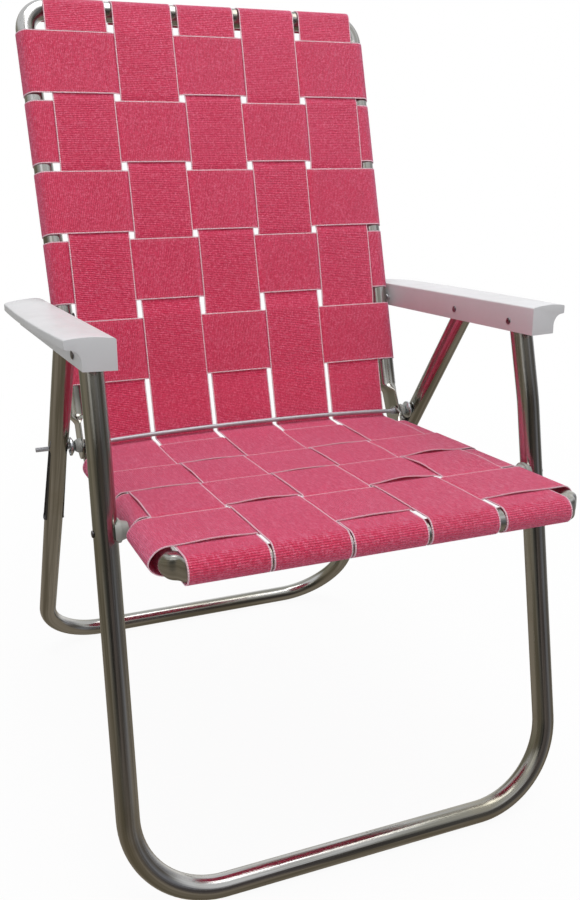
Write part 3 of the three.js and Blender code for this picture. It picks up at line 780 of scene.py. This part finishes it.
def cross_strap(name, line, row, centre, half_at, span_at, lifts, loose_share):
    crossings = [(row, number) for number in range(LONG_COUNT)]
    columns = []
    for across in shares(ACROSS_STEPS):
        distance = centre + STRAP_WIDTH * (across - 0.5)
        half = half_at(distance)
        run = woven([span_at(number, distance) for _, number in crossings], crossings, 0, lifts, across)
        left = [(-half - out * (1 + loose_share if out > 0 else 1), h) for out, h in wrap(run[0][1])]
        right = [(half + out, h) for out, h in wrap(run[-1][1])[::-1]]
        columns.append([line.at(x, distance, height) for x, height in left + run + right])
    return strap_mesh(name, columns)


def over_rows(rows, number, lifts, across):
    """A long strap's distances and heights over a part's cross straps, from the nearest to the farthest."""
    order = sorted(range(len(rows)), key=lambda row: rows[row])
    spans = [(rows[row] - STRAP_WIDTH / 2, rows[row] + STRAP_WIDTH / 2) for row in order]
    return woven(spans, [(row, number) for row in order], 1, lifts, across)


def long_strap(name, number):
    """A strap from the seat's front round the crease at the rod and up to the back's top."""
    tangent = CREASE_R * math.tan(crease_turn / 2)
    arc_start, arc_end = crease_seat - tangent, crease_back + tangent
    arc_spans = seat_span(number, arc_start), back_span(number, arc_end)
    centre = seat_line.at(0, arc_start, WEAVE_PLANE + CREASE_R)
    columns = []
    for across in shares(ACROSS_STEPS):
        seat_run = over_rows(SEAT_ROWS, number, SEAT_LIFTS, across)
        back_run = over_rows(BACK_ROWS, number, {}, across)
        seat_path = [(-out, height) for out, height in wrap(seat_run[0][1])] + seat_run
        seat_path += slope(seat_run[-1], (arc_start, WEAVE_PLANE), CREASE_GAP_STEPS)
        back_path = slope((arc_end, WEAVE_PLANE), back_run[0], CREASE_GAP_STEPS) + back_run
        back_path += [(BACK_LENGTH + out, height) for out, height in wrap(back_run[-1][1])[::-1]]
        points = [seat_line.at(between(*seat_span(number, d), across), d, h) for d, h in seat_path]
        for i in range(CREASE_STEPS + 1):
            turn = Matrix.Rotation(crease_turn * i / CREASE_STEPS, 3, Vector((1, 0, 0)))
            spun = np.array(turn) @ (-seat_line.square * CREASE_R)
            x = between(*(between(*ends, across) for ends in arc_spans), i / CREASE_STEPS)
            points.append(centre + spun + place(x, 0, 0))
        points += [back_line.at(between(*back_span(number, d), across), d, h) for d, h in back_path]
        columns.append(points)
    return strap_mesh(name, columns)


# Armrests
def arm_inner(distance):
    return ARM_INNER_X + ARM_FLARE * distance


def arm_lip(distance):
    from_widest = (arm_widest - distance) / (arm_widest + ARM_FRONT_REACH)
    lip = ARM_LIP_WIDEST_X - (ARM_LIP_WIDEST_X - ARM_LIP_FRONT_X) * from_widest ** 2
    into_corner = max(distance - arm_rear_reach + ARM_CORNER_R, 0)
    return lip - ARM_CORNER_R + math.sqrt(max(ARM_CORNER_R ** 2 - into_corner ** 2, 0))


def arm_wall(distance):
    wall = arm_inner(distance) + 2 * ARM_WALL + ARM_CHANNEL
    return min(wall, arm_lip(distance) - ARM_LIP_LEAST)


def arm_ring(distance, skew, side):
    inner, lip, wall = arm_inner(distance), arm_lip(distance), arm_wall(distance)
    lip_foot, shoulder = ARM_RISE - ARM_LIP, ARM_RISE - ARM_EDGE
    cove = min(COVE_WIDTH, lip - 2 * ARM_EDGE - wall)
    outline = [(inner, -ARM_DROP), (inner, shoulder)]
    for c, s in quarter_arc(ARM_EDGE_STEPS)[1:-1]:
        outline.append((inner + ARM_EDGE * (1 - c), shoulder + ARM_EDGE * s))
    for share in shares(ARM_TOP_STEPS):
        x = between(inner + ARM_EDGE, lip - ARM_EDGE, share)
        outline.append((x, ARM_RISE + ARM_CROWN * (1 - (2 * share - 1) ** 2)))
    for c, s in quarter_arc(ARM_EDGE_STEPS)[1:-1]:
        outline.append((lip - ARM_EDGE * (1 - s), shoulder + ARM_EDGE * c))
    outline += [(lip, shoulder), (lip, lip_foot + ARM_EDGE)]
    for c, s in quarter_arc(ARM_LIP_STEPS)[1:-1]:
        outline.append((lip - ARM_EDGE * (1 - c), lip_foot + ARM_EDGE * (1 - s)))
    for c, s in quarter_arc(COVE_STEPS)[::-1]:
        outline.append((wall + cove * (1 - c), between(COVE_FOOT, lip_foot, s)))
    outline.append((wall, -ARM_DROP))
    ring = []
    for x, height in outline:
        shift = skew * (x - inner) / (lip - inner)
        ring.append(arm_line.at(x, distance + shift, height) * place(side, 1, 1))
    return ring


def armrest(side):
    body_end = arm_rear_reach - ARM_CORNER_R
    rings = []
    for k in range(ARM_STEPS + 1):
        distance = between(-ARM_FRONT_REACH, body_end, k / ARM_STEPS)
        rings.append(arm_ring(distance, ARM_FRONT_SKEW * max(0, 1 - k / ARM_SKEW_STEPS) ** 2, side))
    for k in range(1, int(ARM_CORNER_PARTS) + 1):
        corner = ARM_CORNER_R * math.sin(QUARTER * k / ARM_CORNER_PARTS)
        rings.append(arm_ring(body_end + corner, 0, side))
    obj = loft(f"armrest_shell_{side_name(side)}", rings)
    floor, roof = -2 * ARM_DROP, ARM_RISE - ARM_ROOF
    channel = []
    for distance in (ARM_END_WALL - ARM_FRONT_REACH, arm_channel_rear):
        near = arm_inner(distance) + ARM_WALL
        far = near + ARM_CHANNEL
        corners = [(near, floor), (near, roof), (far, roof), (far, floor)]
        channel.append([arm_line.at(x, distance, height) * place(side, 1, 1) for x, height in corners])
    pocket_x, pocket_r = arm_wall(0), HEAD[0] + SEAT_GAP
    pocket = [(pocket_x, 0), (pocket_x, pocket_r), (ARM_LIP_WIDEST_X, pocket_r), (ARM_LIP_WIDEST_X, 0)]
    cut(obj, [loft("channel_tool", channel), turned("pocket_tool", pocket, front_pivot, side, 32)])
    soften(obj, ARM_SOFT_EDGE, 3, 32)
    return obj


# Bolts, washers and spacers
def side_name(side):
    return "right" if side > 0 else "left"


def small_piece(name, profile, centre, side, edge=SMALL_EDGE):
    obj = turned(f"{name}_{side_name(side)}", profile, centre, side)
    soften(obj, edge)
    return obj


def dome(face_x, head, way):
    """The outline of a domed head on a face, from its middle to its rim."""
    r, height = head
    return [
        (face_x + way * height * (DOME_RIM_SHARE + (1 - DOME_RIM_SHARE) * c), r * s)
        for c, s in quarter_arc(DOME_STEPS)
    ]


def bolt(name, centre, side, inner_x, outer_x, near, far=None):
    """A bolt with a domed head just off its inner face, and where far is given one at its outer face."""
    inner_x -= SEAT_GAP
    profile = dome(inner_x, near, -1) + [(inner_x, near[0]), (inner_x, BOLT_R), (outer_x, BOLT_R)]
    profile += [(outer_x, far[0])] + dome(outer_x, far, 1)[::-1] if far else [(outer_x, 0)]
    return small_piece(name, profile, centre, side)


def front_arm_bolt(side):
    outer = arm_wall(0) + SEAT_GAP
    return bolt("front_arm_screw", front_pivot, side, arm_inner(0), outer, SMALL_HEAD, HEAD)


def rear_arm_bolt(side):
    inner = arm_inner(arm_rear_pivot)
    outer = inner + ARM_WALL + ARM_CHANNEL + BLIND
    return bolt("rear_arm_screw", rear_pivot, side, inner, outer, SMALL_HEAD)


def back_arm_bolt(side):
    inner = back_pivot[0] - TUBE_R
    outer = arm_inner(arm_back_pivot) + ARM_WALL + SEAT_GAP
    return bolt("back_arm_screw", back_pivot, side, inner, outer, HEAD, NUT)


def back_arm_washer(side):
    near = back_pivot[0] + TUBE_R + SEAT_GAP
    far = arm_inner(arm_back_pivot) - SEAT_GAP
    hole = BOLT_R + SEAT_GAP
    profile = [(near, hole), (near, WASHER_R), (far, WASHER_R), (far, hole), (near, hole)]
    return small_piece("back_arm_ring", profile, back_pivot, side)


def seat_bolt(side):
    inner = SEAT_HALF - TUBE_R
    outer = seat_pivot[0] + TUBE_R + SEAT_GAP
    return bolt("seat_pivot_screw", seat_pivot, side, inner, outer, HEAD, SMALL_HEAD)


def seat_spacer(side):
    """A cone from the seat's rail to a thick end that is cut to sit on the round leg."""
    near = SEAT_HALF + TUBE_R + STRAP_THICKNESS + 2 * SEAT_GAP
    leg_face = seat_pivot[0] - TUBE_R
    far = leg_face + SPACER_SADDLE
    neck_r = between(SPACER_RAIL_R, SPACER_LEG_R, SPACER_NECK_R_SHARE)
    profile = [(near, 0), (near, SPACER_RAIL_R), (between(near, leg_face, SPACER_NECK_SHARE), neck_r)]
    profile += [(between(near, leg_face, SPACER_HEAD_SHARE), SPACER_LEG_R), (far, SPACER_LEG_R), (far, 0)]
    obj = turned(f"seat_spacer_body_{side_name(side)}", profile, seat_pivot, side)
    along = unit(front_leg_place(FRONT_KNEE_HEIGHT) - seat_pivot)
    flip = place(side, 1, 1)
    r = TUBE_R + STRAP_GAP
    stations = []
    for reach in (-3 * SPACER_LEG_R, 3 * SPACER_LEG_R):
        stations.append(station((seat_pivot + along * reach) * flip, along * flip, r, r))
    cut(obj, [tube("saddle_tool", stations, front_normal)])
    soften(obj, PLASTIC_EDGE)
    return obj


def hinge_rod():
    """The rod, slightly bowed up, with a grooved collar inside each plate."""
    groove_x = collar_x - (COLLAR_LENGTH + COLLAR_GROOVE) / 2
    edges = [collar_x - COLLAR_LENGTH, groove_x, groove_x + COLLAR_GROOVE, collar_x]
    radii = [ROD_R, COLLAR_R, ROD_R, COLLAR_R, ROD_R]
    half = [(x, r) for i, x in enumerate(edges) for r in radii[i:i + 2]]
    profile = [(-ROD_LEFT_REACH, 0), (-ROD_LEFT_REACH, ROD_R)]
    profile += [(-x, r) for x, r in half[::-1]]
    profile += [(rod_span * k / ROD_BOW_STEPS, ROD_R) for k in range(1 - ROD_BOW_STEPS, ROD_BOW_STEPS)]
    profile += half + [(ROD_RIGHT_REACH, ROD_R), (ROD_RIGHT_REACH, 0)]
    obj = turned("hinge_rod_bowed", profile, rod_rest)
    soften(obj, ROD_EDGE)
    for vertex in obj.data.vertices:
        vertex.co.z += rod_bow(vertex.co.x)
    return obj


rod_spacer_near = back_plate_x + PLATE_HALF_THICK + SEAT_GAP
rod_spacer_far = rod_spacer_near + ROD_SPACER_LENGTH
cup_near = rod_spacer_far + SEAT_GAP
cup_far = REAR_HALF - TUBE_R - LINER_STAND - SEAT_GAP
rod_hole_r = ROD_R + SEAT_GAP / 2


def rod_spacer(side):
    near, middle, far = rod_spacer_near, rod_spacer_near + ROD_SPACER_LENGTH / 2, rod_spacer_far
    profile = [
        (near, rod_hole_r), (near, ROD_SPACER_R), (middle, ROD_SPACER_R), (far, ROD_SPACER_END_R),
        (far, rod_hole_r), (near, rod_hole_r),
    ]
    return small_piece("rod_spacer_body", profile, rod_rest, side, ROD_SPACER_EDGE)


def cup_washer(side):
    rim, hub, inner_r = cup_far - CUP_RIM, cup_near + CUP_THICKNESS, CUP_R - CUP_THICKNESS
    profile = [
        (cup_near, rod_hole_r), (cup_near, CUP_HUB_R), (rim, CUP_R), (cup_far, CUP_R), (cup_far, inner_r),
        (rim, inner_r), (hub, CUP_HUB_R - CUP_THICKNESS / 2), (hub, rod_hole_r), (cup_near, rod_hole_r),
    ]
    return small_piece("cup_washer_body", profile, rod_rest, side)


def strap_screws(name, line, ends):
    """Domed screw heads that hold the straps' ends under a frame, from their places across and along it."""
    facing = -line.square
    u = unit(np.cross(facing, place(1, 0, 0)))
    v = np.cross(facing, u)
    rings = len(SCREW_SHARES)
    head_faces = grid_faces(rings, SCREW_SIDES, True)
    head_faces += end_faces(rings, SCREW_SIDES, SCREW_SIDES)
    vertices, faces = [], []
    for x, distance in ends:
        first = len(vertices)
        at = line.at(x, distance, -wrap_r - STRAP_THICKNESS / 2)
        for r, h in SCREW_SHARES:
            for k in range(SCREW_SIDES):
                angle = 2 * math.pi * k / SCREW_SIDES
                spot = at + facing * (SCREW_H * h)
                vertices.append(spot + SCREW_R * r * (u * math.cos(angle) + v * math.sin(angle)))
        faces += [tuple(first + i for i in face) for face in head_faces]
    obj = new_object(name, vertices, faces)
    outward(obj)
    smooth(obj)
    return obj


# Materials
class Nodes:
    """A material's node tree, with short calls for what the materials share."""

    def __init__(self, name, owner=None, output="ShaderNodeOutputMaterial"):
        self.owner = owner or bpy.data.materials.new(name)
        self.owner.use_nodes = True
        self.tree = self.owner.node_tree
        self.tree.nodes.clear()
        self.output = self.tree.nodes.new(output)

    def link(self, source, target):
        if isinstance(source, (int, float, tuple)):
            target.default_value = (*source, 1) if target.type == "RGBA" else source
        else:
            self.tree.links.new(source, target)

    def add(self, kind, *first, **named):
        """A node with values or links for its first inputs, and for others by their names."""
        node = self.tree.nodes.new("ShaderNode" + kind)
        for source, target in zip(first, node.inputs):
            self.link(source, target)
        for key, source in named.items():
            self.link(source, node.inputs[key.replace("_", " ")])
        return node

    def maths(self, operation, a, b=0):
        node = self.add("Math", a, b)
        node.operation = operation
        return node.outputs[0]

    def times(self, a, b):
        return self.maths("MULTIPLY", a, b)

    def mix(self, share, a, b):
        node = self.add("Mix", share)
        node.data_type = "RGBA"
        self.link(a, node.inputs[6])
        self.link(b, node.inputs[7])
        return node.outputs[2]

    def band(self, value, low, high, from_value=0, to_value=1):
        node = self.add("MapRange", value, low, high, from_value, to_value)
        node.interpolation_type = "SMOOTHSTEP"
        return node.outputs["Result"]

    def layers(self, colour, rows):
        """Tones over a colour, each by a value between two levels, and up to a share."""
        for value, low, high, share, tone in rows:
            colour = self.mix(self.band(value, low, high, 0, share), colour, tone)
        return colour

    def noise(self, vector, scale, detail=3, roughness=0.5):
        """A noise of one scale, or of one scale for each direction."""
        if isinstance(scale, tuple):
            stretch = self.add("VectorMath", vector, scale)
            stretch.operation = "MULTIPLY"
            vector, scale = stretch.outputs["Vector"], 1
        node = self.add("TexNoise", Vector=vector, Scale=scale, Detail=detail, Roughness=roughness)
        return node.outputs["Fac"]

    def place(self):
        return self.add("TexCoord").outputs["Object"]

    def surface(self):
        node = self.add("UVMap")
        node.uv_map = "Surface"
        return node.outputs["UV"]

    def bump(self, height, strength, distance):
        return self.add("Bump", Height=height, Strength=strength, Distance=distance).outputs["Normal"]

    def finish(self, shader):
        self.link(shader.outputs[0], self.output.inputs["Surface"])
        return self.owner


def aluminium():
    n = Nodes("polished_aluminium")
    surface = n.surface()
    streaks_and_painted_reflection = n.noise(surface, (900, 6, 1), 4, 0.65)
    wide_bands_and_painted_reflection = n.noise(surface, (160, 3, 1), 3, 0.55)
    cloud = n.noise(n.place(), 11, 4, 0.6)
    specks = n.noise(n.place(), 420, 2, 0.5)
    # The dark olive base and the light lengthwise bands and streaks are partly painted reflection: they
    # darken and stripe the metal as a dim room mirrored in it would, besides the tube's own drawn lines and
    # tone.
    colour = n.layers((0.27, 0.26, 0.22), (
        (wide_bands_and_painted_reflection, 0.36, 0.64, 1, (0.54, 0.53, 0.51)),
        (cloud, 0.48, 0.75, 0.5, (0.3, 0.27, 0.2)),
        (streaks_and_painted_reflection, 0.6, 0.78, 0.6, (0.7, 0.7, 0.7)),
        (specks, 0.7, 0.78, 0.45, (0.14, 0.13, 0.1)),
    ))
    rough = n.maths("ADD", n.band(streaks_and_painted_reflection, 0.3, 0.8, 0.09, 0.22), n.band(cloud, 0.4, 0.8, 0, 0.08))
    height = n.maths("ADD", n.times(wide_bands_and_painted_reflection, 3), streaks_and_painted_reflection)
    normal = n.bump(height, 0.3, METAL_RELIEF)
    return n.finish(n.add("BsdfPrincipled", Base_Color=colour, Metallic=1, Roughness=rough, Normal=normal))


def steel(name, bright, dark, rough_low, rough_high, metallic=1):
    n = Nodes(name)
    cloud = n.noise(n.place(), 260, 4, 0.6)
    colour = n.mix(n.band(cloud, 0.35, 0.7), dark, bright)
    rough = n.band(cloud, 0.3, 0.7, rough_low, rough_high)
    normal = n.bump(n.noise(n.place(), 2500, 2, 0.5), 0.12, STEEL_RELIEF)
    look = {"Base_Color": colour, "Metallic": metallic, "Roughness": rough, "Normal": normal}
    return n.finish(n.add("BsdfPrincipled", **look))


def plastic(name, light, deep, rough, grain):
    n = Nodes(name)
    colour = n.mix(n.band(n.noise(n.place(), 14, 4, 0.6), 0.35, 0.75), light, deep)
    roughness = n.band(n.noise(n.place(), 60), 0.3, 0.7, rough - 0.05, rough + 0.06)
    normal = n.bump(n.noise(n.place(), 1800, 3, 0.6), grain, PLASTIC_RELIEF)
    return n.finish(n.add("BsdfPrincipled", Base_Color=colour, Roughness=roughness, Normal=normal))


def webbing():
    n = Nodes("woven_webbing")
    surface = n.surface()
    split = n.add("SeparateXYZ", surface)
    across, along = split.outputs[0], split.outputs[1]
    from_middle = n.maths("ABSOLUTE", n.maths("SUBTRACT", across, STRAP_WIDTH / 2))
    from_edge = n.maths("SUBTRACT", STRAP_WIDTH / 2, from_middle)
    rib = n.maths("SINE", n.times(across, 2 * math.pi / RIB_PITCH))
    waver = n.noise(surface, (140, 60, 1), 2, 0.5)
    row = n.maths("ADD", along, n.times(waver, PICK_WAVER))
    pick = n.maths("SINE", n.times(row, 2 * math.pi / PICK_PITCH))
    grain = n.noise(surface, (620, 330, 1), 3, 0.7)
    long_noise = n.noise(surface, (260, 6, 1), 3, 0.6)
    cross_noise = n.noise(surface, (12, 320, 1), 3, 0.6)
    coarse = n.noise(surface, (330, 150, 1), 2, 0.6)
    fleck_and_glint = n.noise(n.place(), (520, 110, 520), 2, 0.6)
    second_gap = n.maths("ABSOLUTE", n.maths("SUBTRACT", from_edge, SECOND_LINE))
    second = n.band(second_gap, SECOND_LINE_FAR, SECOND_LINE_NEAR, 0, 0.4)
    base = n.layers((0.87, 0.018, 0.108), (
        (n.noise(n.place(), 18, 3, 0.5), 0.3, 0.75, 1, (0.92, 0.027, 0.134)),
        (long_noise, 0.45, 0.75, 0.4, (0.94, 0.1, 0.21)),
        (cross_noise, 0.5, 0.8, 0.4, (0.74, 0.028, 0.095)),
        (pick, 0.1, -0.9, 0.4, (0.68, 0.023, 0.08)),
        (coarse, 0.55, 0.3, 0.45, (0.66, 0.022, 0.08)),
        (coarse, 0.5, 0.72, 0.6, (0.95, 0.19, 0.31)),
        (grain, 0.5, 0.3, 0.6, (0.62, 0.021, 0.076)),
        # The light grain and light fleck tones are partly the weave's own pale flecks and partly painted
        # glints.
        (grain, 0.52, 0.68, 0.75, (0.93, 0.26, 0.37)),
        (fleck_and_glint, 0.54, 0.68, 0.7, (0.98, 0.19, 0.32)),
        (fleck_and_glint, 0.47, 0.33, 0.7, (0.72, 0.02, 0.08)),
    ))
    base = n.mix(n.times(second, n.band(pick, -0.2, 0.5)), base, (0.92, 0.32, 0.42))
    # Pale band along the edges: partly the selvedge's paler yarn, partly a painted edge highlight.
    base = n.mix(n.band(from_edge, SELVEDGE_AND_EDGE_HIGHLIGHT, SELVEDGE_AND_EDGE_HIGHLIGHT_INNER), base, (0.98, 0.7, 0.76))
    weave = n.maths("ADD", n.times(rib, pick), pick)
    height = n.maths("ADD", weave, n.times(grain, 2.5))
    height = n.maths("ADD", height, n.times(coarse, 3))
    shader = n.add(
        "BsdfPrincipled",
        Base_Color=base,
        Roughness=n.band(fleck_and_glint, 0.4, 0.65, 0.62, 0.3),
        Specular_IOR_Level=0.5,
        Sheen_Weight=0.8,
        Sheen_Roughness=0.35,
        Sheen_Tint=(1, 0.6, 0.9),
        Normal=n.bump(height, 0.8, WEBBING_RELIEF),
    )
    through = n.add("BsdfTranslucent", Color=(0.98, 0.3, 0.45))
    return n.finish(n.add("MixShader", 0.24, shader.outputs[0], through.outputs[0]))


def floor_material():
    n = Nodes("studio_floor")
    far = n.add("VectorMath", n.place())
    far.operation = "LENGTH"
    glow_share = n.band(far.outputs["Value"], FLOOR_NEAR, FLOOR_FAR, FLOOR_GLOW_SHARE, 1)
    seen = n.times(n.add("LightPath").outputs["Is Camera Ray"], glow_share)
    lit = n.add("BsdfDiffuse", Color=(0.8, 0.8, 0.8))
    glow = n.add("Emission", Color=(1, 1, 1), Strength=1)
    return n.finish(n.add("MixShader", seen, lit.outputs[0], glow.outputs[0]))


# Each look: its material and the name of its slot
METAL = aluminium(), "tube_aluminium"
ZINC = steel("zinc_plate", (0.75, 0.77, 0.78), (0.55, 0.58, 0.6), 0.22, 0.38), "zinc_steel"
DULL_ZINC = steel("dull_zinc", (0.46, 0.46, 0.48), (0.36, 0.36, 0.38), 0.4, 0.55, 0.45), "zinc_steel"
DARK_STEEL = steel("dark_screws", (0.33, 0.32, 0.33), (0.14, 0.13, 0.14), 0.25, 0.45), "bolt_steel"
WHITE = plastic("armrest_white", (0.585, 0.59, 0.6), (0.55, 0.555, 0.56), 0.42, 0.08), "armrest_plastic"
CREAM = plastic("spacer_cream", (0.3, 0.31, 0.285), (0.25, 0.26, 0.235), 0.42, 0.1), "spacer_plastic"
BLACK = plastic("liner_black", (0.012, 0.012, 0.013), (0.02, 0.02, 0.021), 0.4, 0.1), "liner_plastic"
WEBBING = webbing(), "webbing"


def dress(obj, look, body, *nodes):
    material, slot = look
    obj.data.materials.clear()
    obj.data.materials.append(material)
    if nodes:
        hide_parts(*nodes)
    if body:
        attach(obj, body)


dress(front_leg(), METAL, "front_leg", "front_leg")
dress(rear_leg(), METAL, "rear_leg", "rear_leg")
dress(seat_frame(), METAL, "seat", "seat_frame")
dress(back_frame(), METAL, "back", "back_frame")
dress(hinge_rod(), DULL_ZINC, "seat", "hinge_rod")

# The pieces on each side, whose nodes have their names
SIDE_PIECES = (
    (armrest, WHITE, "armrests"),
    (slot_liner, BLACK, "rear_leg"),
    (seat_spacer, CREAM, "front_leg"),
    (seat_bolt, DARK_STEEL, "front_leg"),
    (rod_spacer, CREAM, "seat"),
    (cup_washer, ZINC, "seat"),
    (front_arm_bolt, DARK_STEEL, "armrests"),
    (rear_arm_bolt, DARK_STEEL, "armrests"),
    (back_arm_bolt, DARK_STEEL, "back"),
    (back_arm_washer, ZINC, "back"),
)
for side in (-1, 1):
    for make, look, body in SIDE_PIECES:
        dress(make(side), look, body, f"{make.__name__}_{side_name(side)}")


# Each woven part: its plane, rows, half width, long straps' edges, lifts and the end its long straps hold
WOVEN_PARTS = {
    "seat": (seat_line, SEAT_ROWS, lambda distance: SEAT_HALF, seat_span, SEAT_LIFTS, (0, 1)),
    "back": (back_line, BACK_ROWS, back_half, back_span, {}, (BACK_LENGTH, -1)),
}
for part, (line, rows, half_at, span_at, lifts, _) in WOVEN_PARTS.items():
    for row, centre in enumerate(rows):
        name = f"{part}_band_cross_{row + 1}"
        loose_share = FRONT_LOOSE_SHARE if (part, row) == ("seat", 0) else 0
        strap, length = cross_strap(name, line, row, centre, half_at, span_at, lifts, loose_share)
        dress(strap, WEBBING, part, f"{part}_strap_cross_{row + 1}")

for number in range(LONG_COUNT):
    strap, length = long_strap(f"band_long_{number + 1}", number)
    dress(strap, WEBBING, None, f"seat_strap_long_{number + 1}", f"back_strap_long_{number + 1}")
    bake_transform(strap)

for part, (line, rows, half_at, span_at, _, (held_at, way)) in WOVEN_PARTS.items():
    tail = STRAP_TAIL / 2
    ends = [(side * (half_at(centre) - tail), centre) for side in (-1, 1) for centre in rows]
    ends += [(between(*span_at(number, held_at), 0.5), held_at + way * tail) for number in range(LONG_COUNT)]
    dress(strap_screws(f"{part}_strap_screws", line, ends), ZINC, part)


# Floor, light and camera
def studio():
    ways = ((-1, -1), (1, -1), (1, 1), (-1, 1))
    points = [(x * FLOOR_HALF, y * FLOOR_HALF, -FLOOR_DROP) for x, y in ways]
    floor = new_object("floor", points, [(0, 1, 2, 3)])
    floor.data.materials.append(floor_material())
    floor.visible_glossy = False
    bpy.context.scene.world = studio_world()


def studio_world():
    """White to the camera, a soft sky from above for light, and a plain room in mirrored metal."""
    n = Nodes("studio", bpy.data.worlds.new("studio"), "ShaderNodeOutputWorld")
    direction = n.add("TexCoord").outputs["Generated"]
    split = n.add("SeparateXYZ", direction)
    up = split.outputs[2]
    turn = n.maths("ARCTAN2", split.outputs[1], split.outputs[0])
    share = n.maths("ADD", n.maths("DIVIDE", turn, 2 * math.pi), 0.5)
    walls = n.add("ValToRGB", Fac=share)
    ramp = walls.color_ramp
    ramp.interpolation = "EASE"
    for element, (position, colour) in zip(ramp.elements, (WALL_SHARES[0], WALL_SHARES[-1])):
        element.position, element.color = position, (*colour, 1)
    for position, colour in WALL_SHARES[1:-1]:
        ramp.elements.new(position).color = (*colour, 1)
    room = n.mix(n.band(up, 0.2, 0.55), walls.outputs["Color"], CEILING)
    room = n.mix(n.band(up, -0.15, -0.5), room, GROUND)
    sky = n.mix(n.band(up, -0.25, 0.8), SKY_LOW, SKY_HIGH)
    path = n.add("LightPath")
    mirrored = n.maths("MAXIMUM", path.outputs["Is Glossy Ray"], path.outputs["Is Transmission Ray"])
    colour = n.mix(mirrored, sky, room)
    colour = n.mix(path.outputs["Is Camera Ray"], colour, (1, 1, 1))
    n.finish(n.add("Background", Color=colour, Strength=1))
    return n.owner


def lamp(name, at, target, size, power):
    light = bpy.data.lights.new(name, "AREA")
    light.shape = "RECTANGLE"
    light.size, light.size_y = size
    light.energy = power
    obj = bpy.data.objects.new(name, light)
    obj.location = at
    obj.rotation_euler = (Vector(target) - Vector(at)).to_track_quat("-Z", "Y").to_euler()
    bpy.context.scene.collection.objects.link(obj)


def camera():
    turn = Matrix.Rotation(-CAMERA_YAW, 4, "Z") @ Matrix.Rotation(QUARTER - CAMERA_PITCH, 4, "X")
    data = bpy.data.cameras.new("camera")
    data.sensor_fit = "VERTICAL"
    data.sensor_height = SENSOR_HEIGHT
    data.lens = FOCAL_PIXELS / IMAGE_HEIGHT * SENSOR_HEIGHT
    data.shift_x = (IMAGE_WIDTH / 2 - CENTRE_PIXELS[0]) / IMAGE_HEIGHT
    data.shift_y = (CENTRE_PIXELS[1] - IMAGE_HEIGHT / 2) / IMAGE_HEIGHT
    data.clip_start = NEAREST_SEEN
    obj = bpy.data.objects.new("camera", data)
    obj.matrix_world = Matrix.Translation(CAMERA_PLACE) @ turn @ Matrix.Rotation(CAMERA_ROLL, 4, "Z")
    bpy.context.scene.collection.objects.link(obj)
    bpy.context.scene.camera = obj


studio()
for lamp_values in LAMPS:
    lamp(*lamp_values)
camera()
bpy.context.scene.view_settings.view_transform = "Standard"
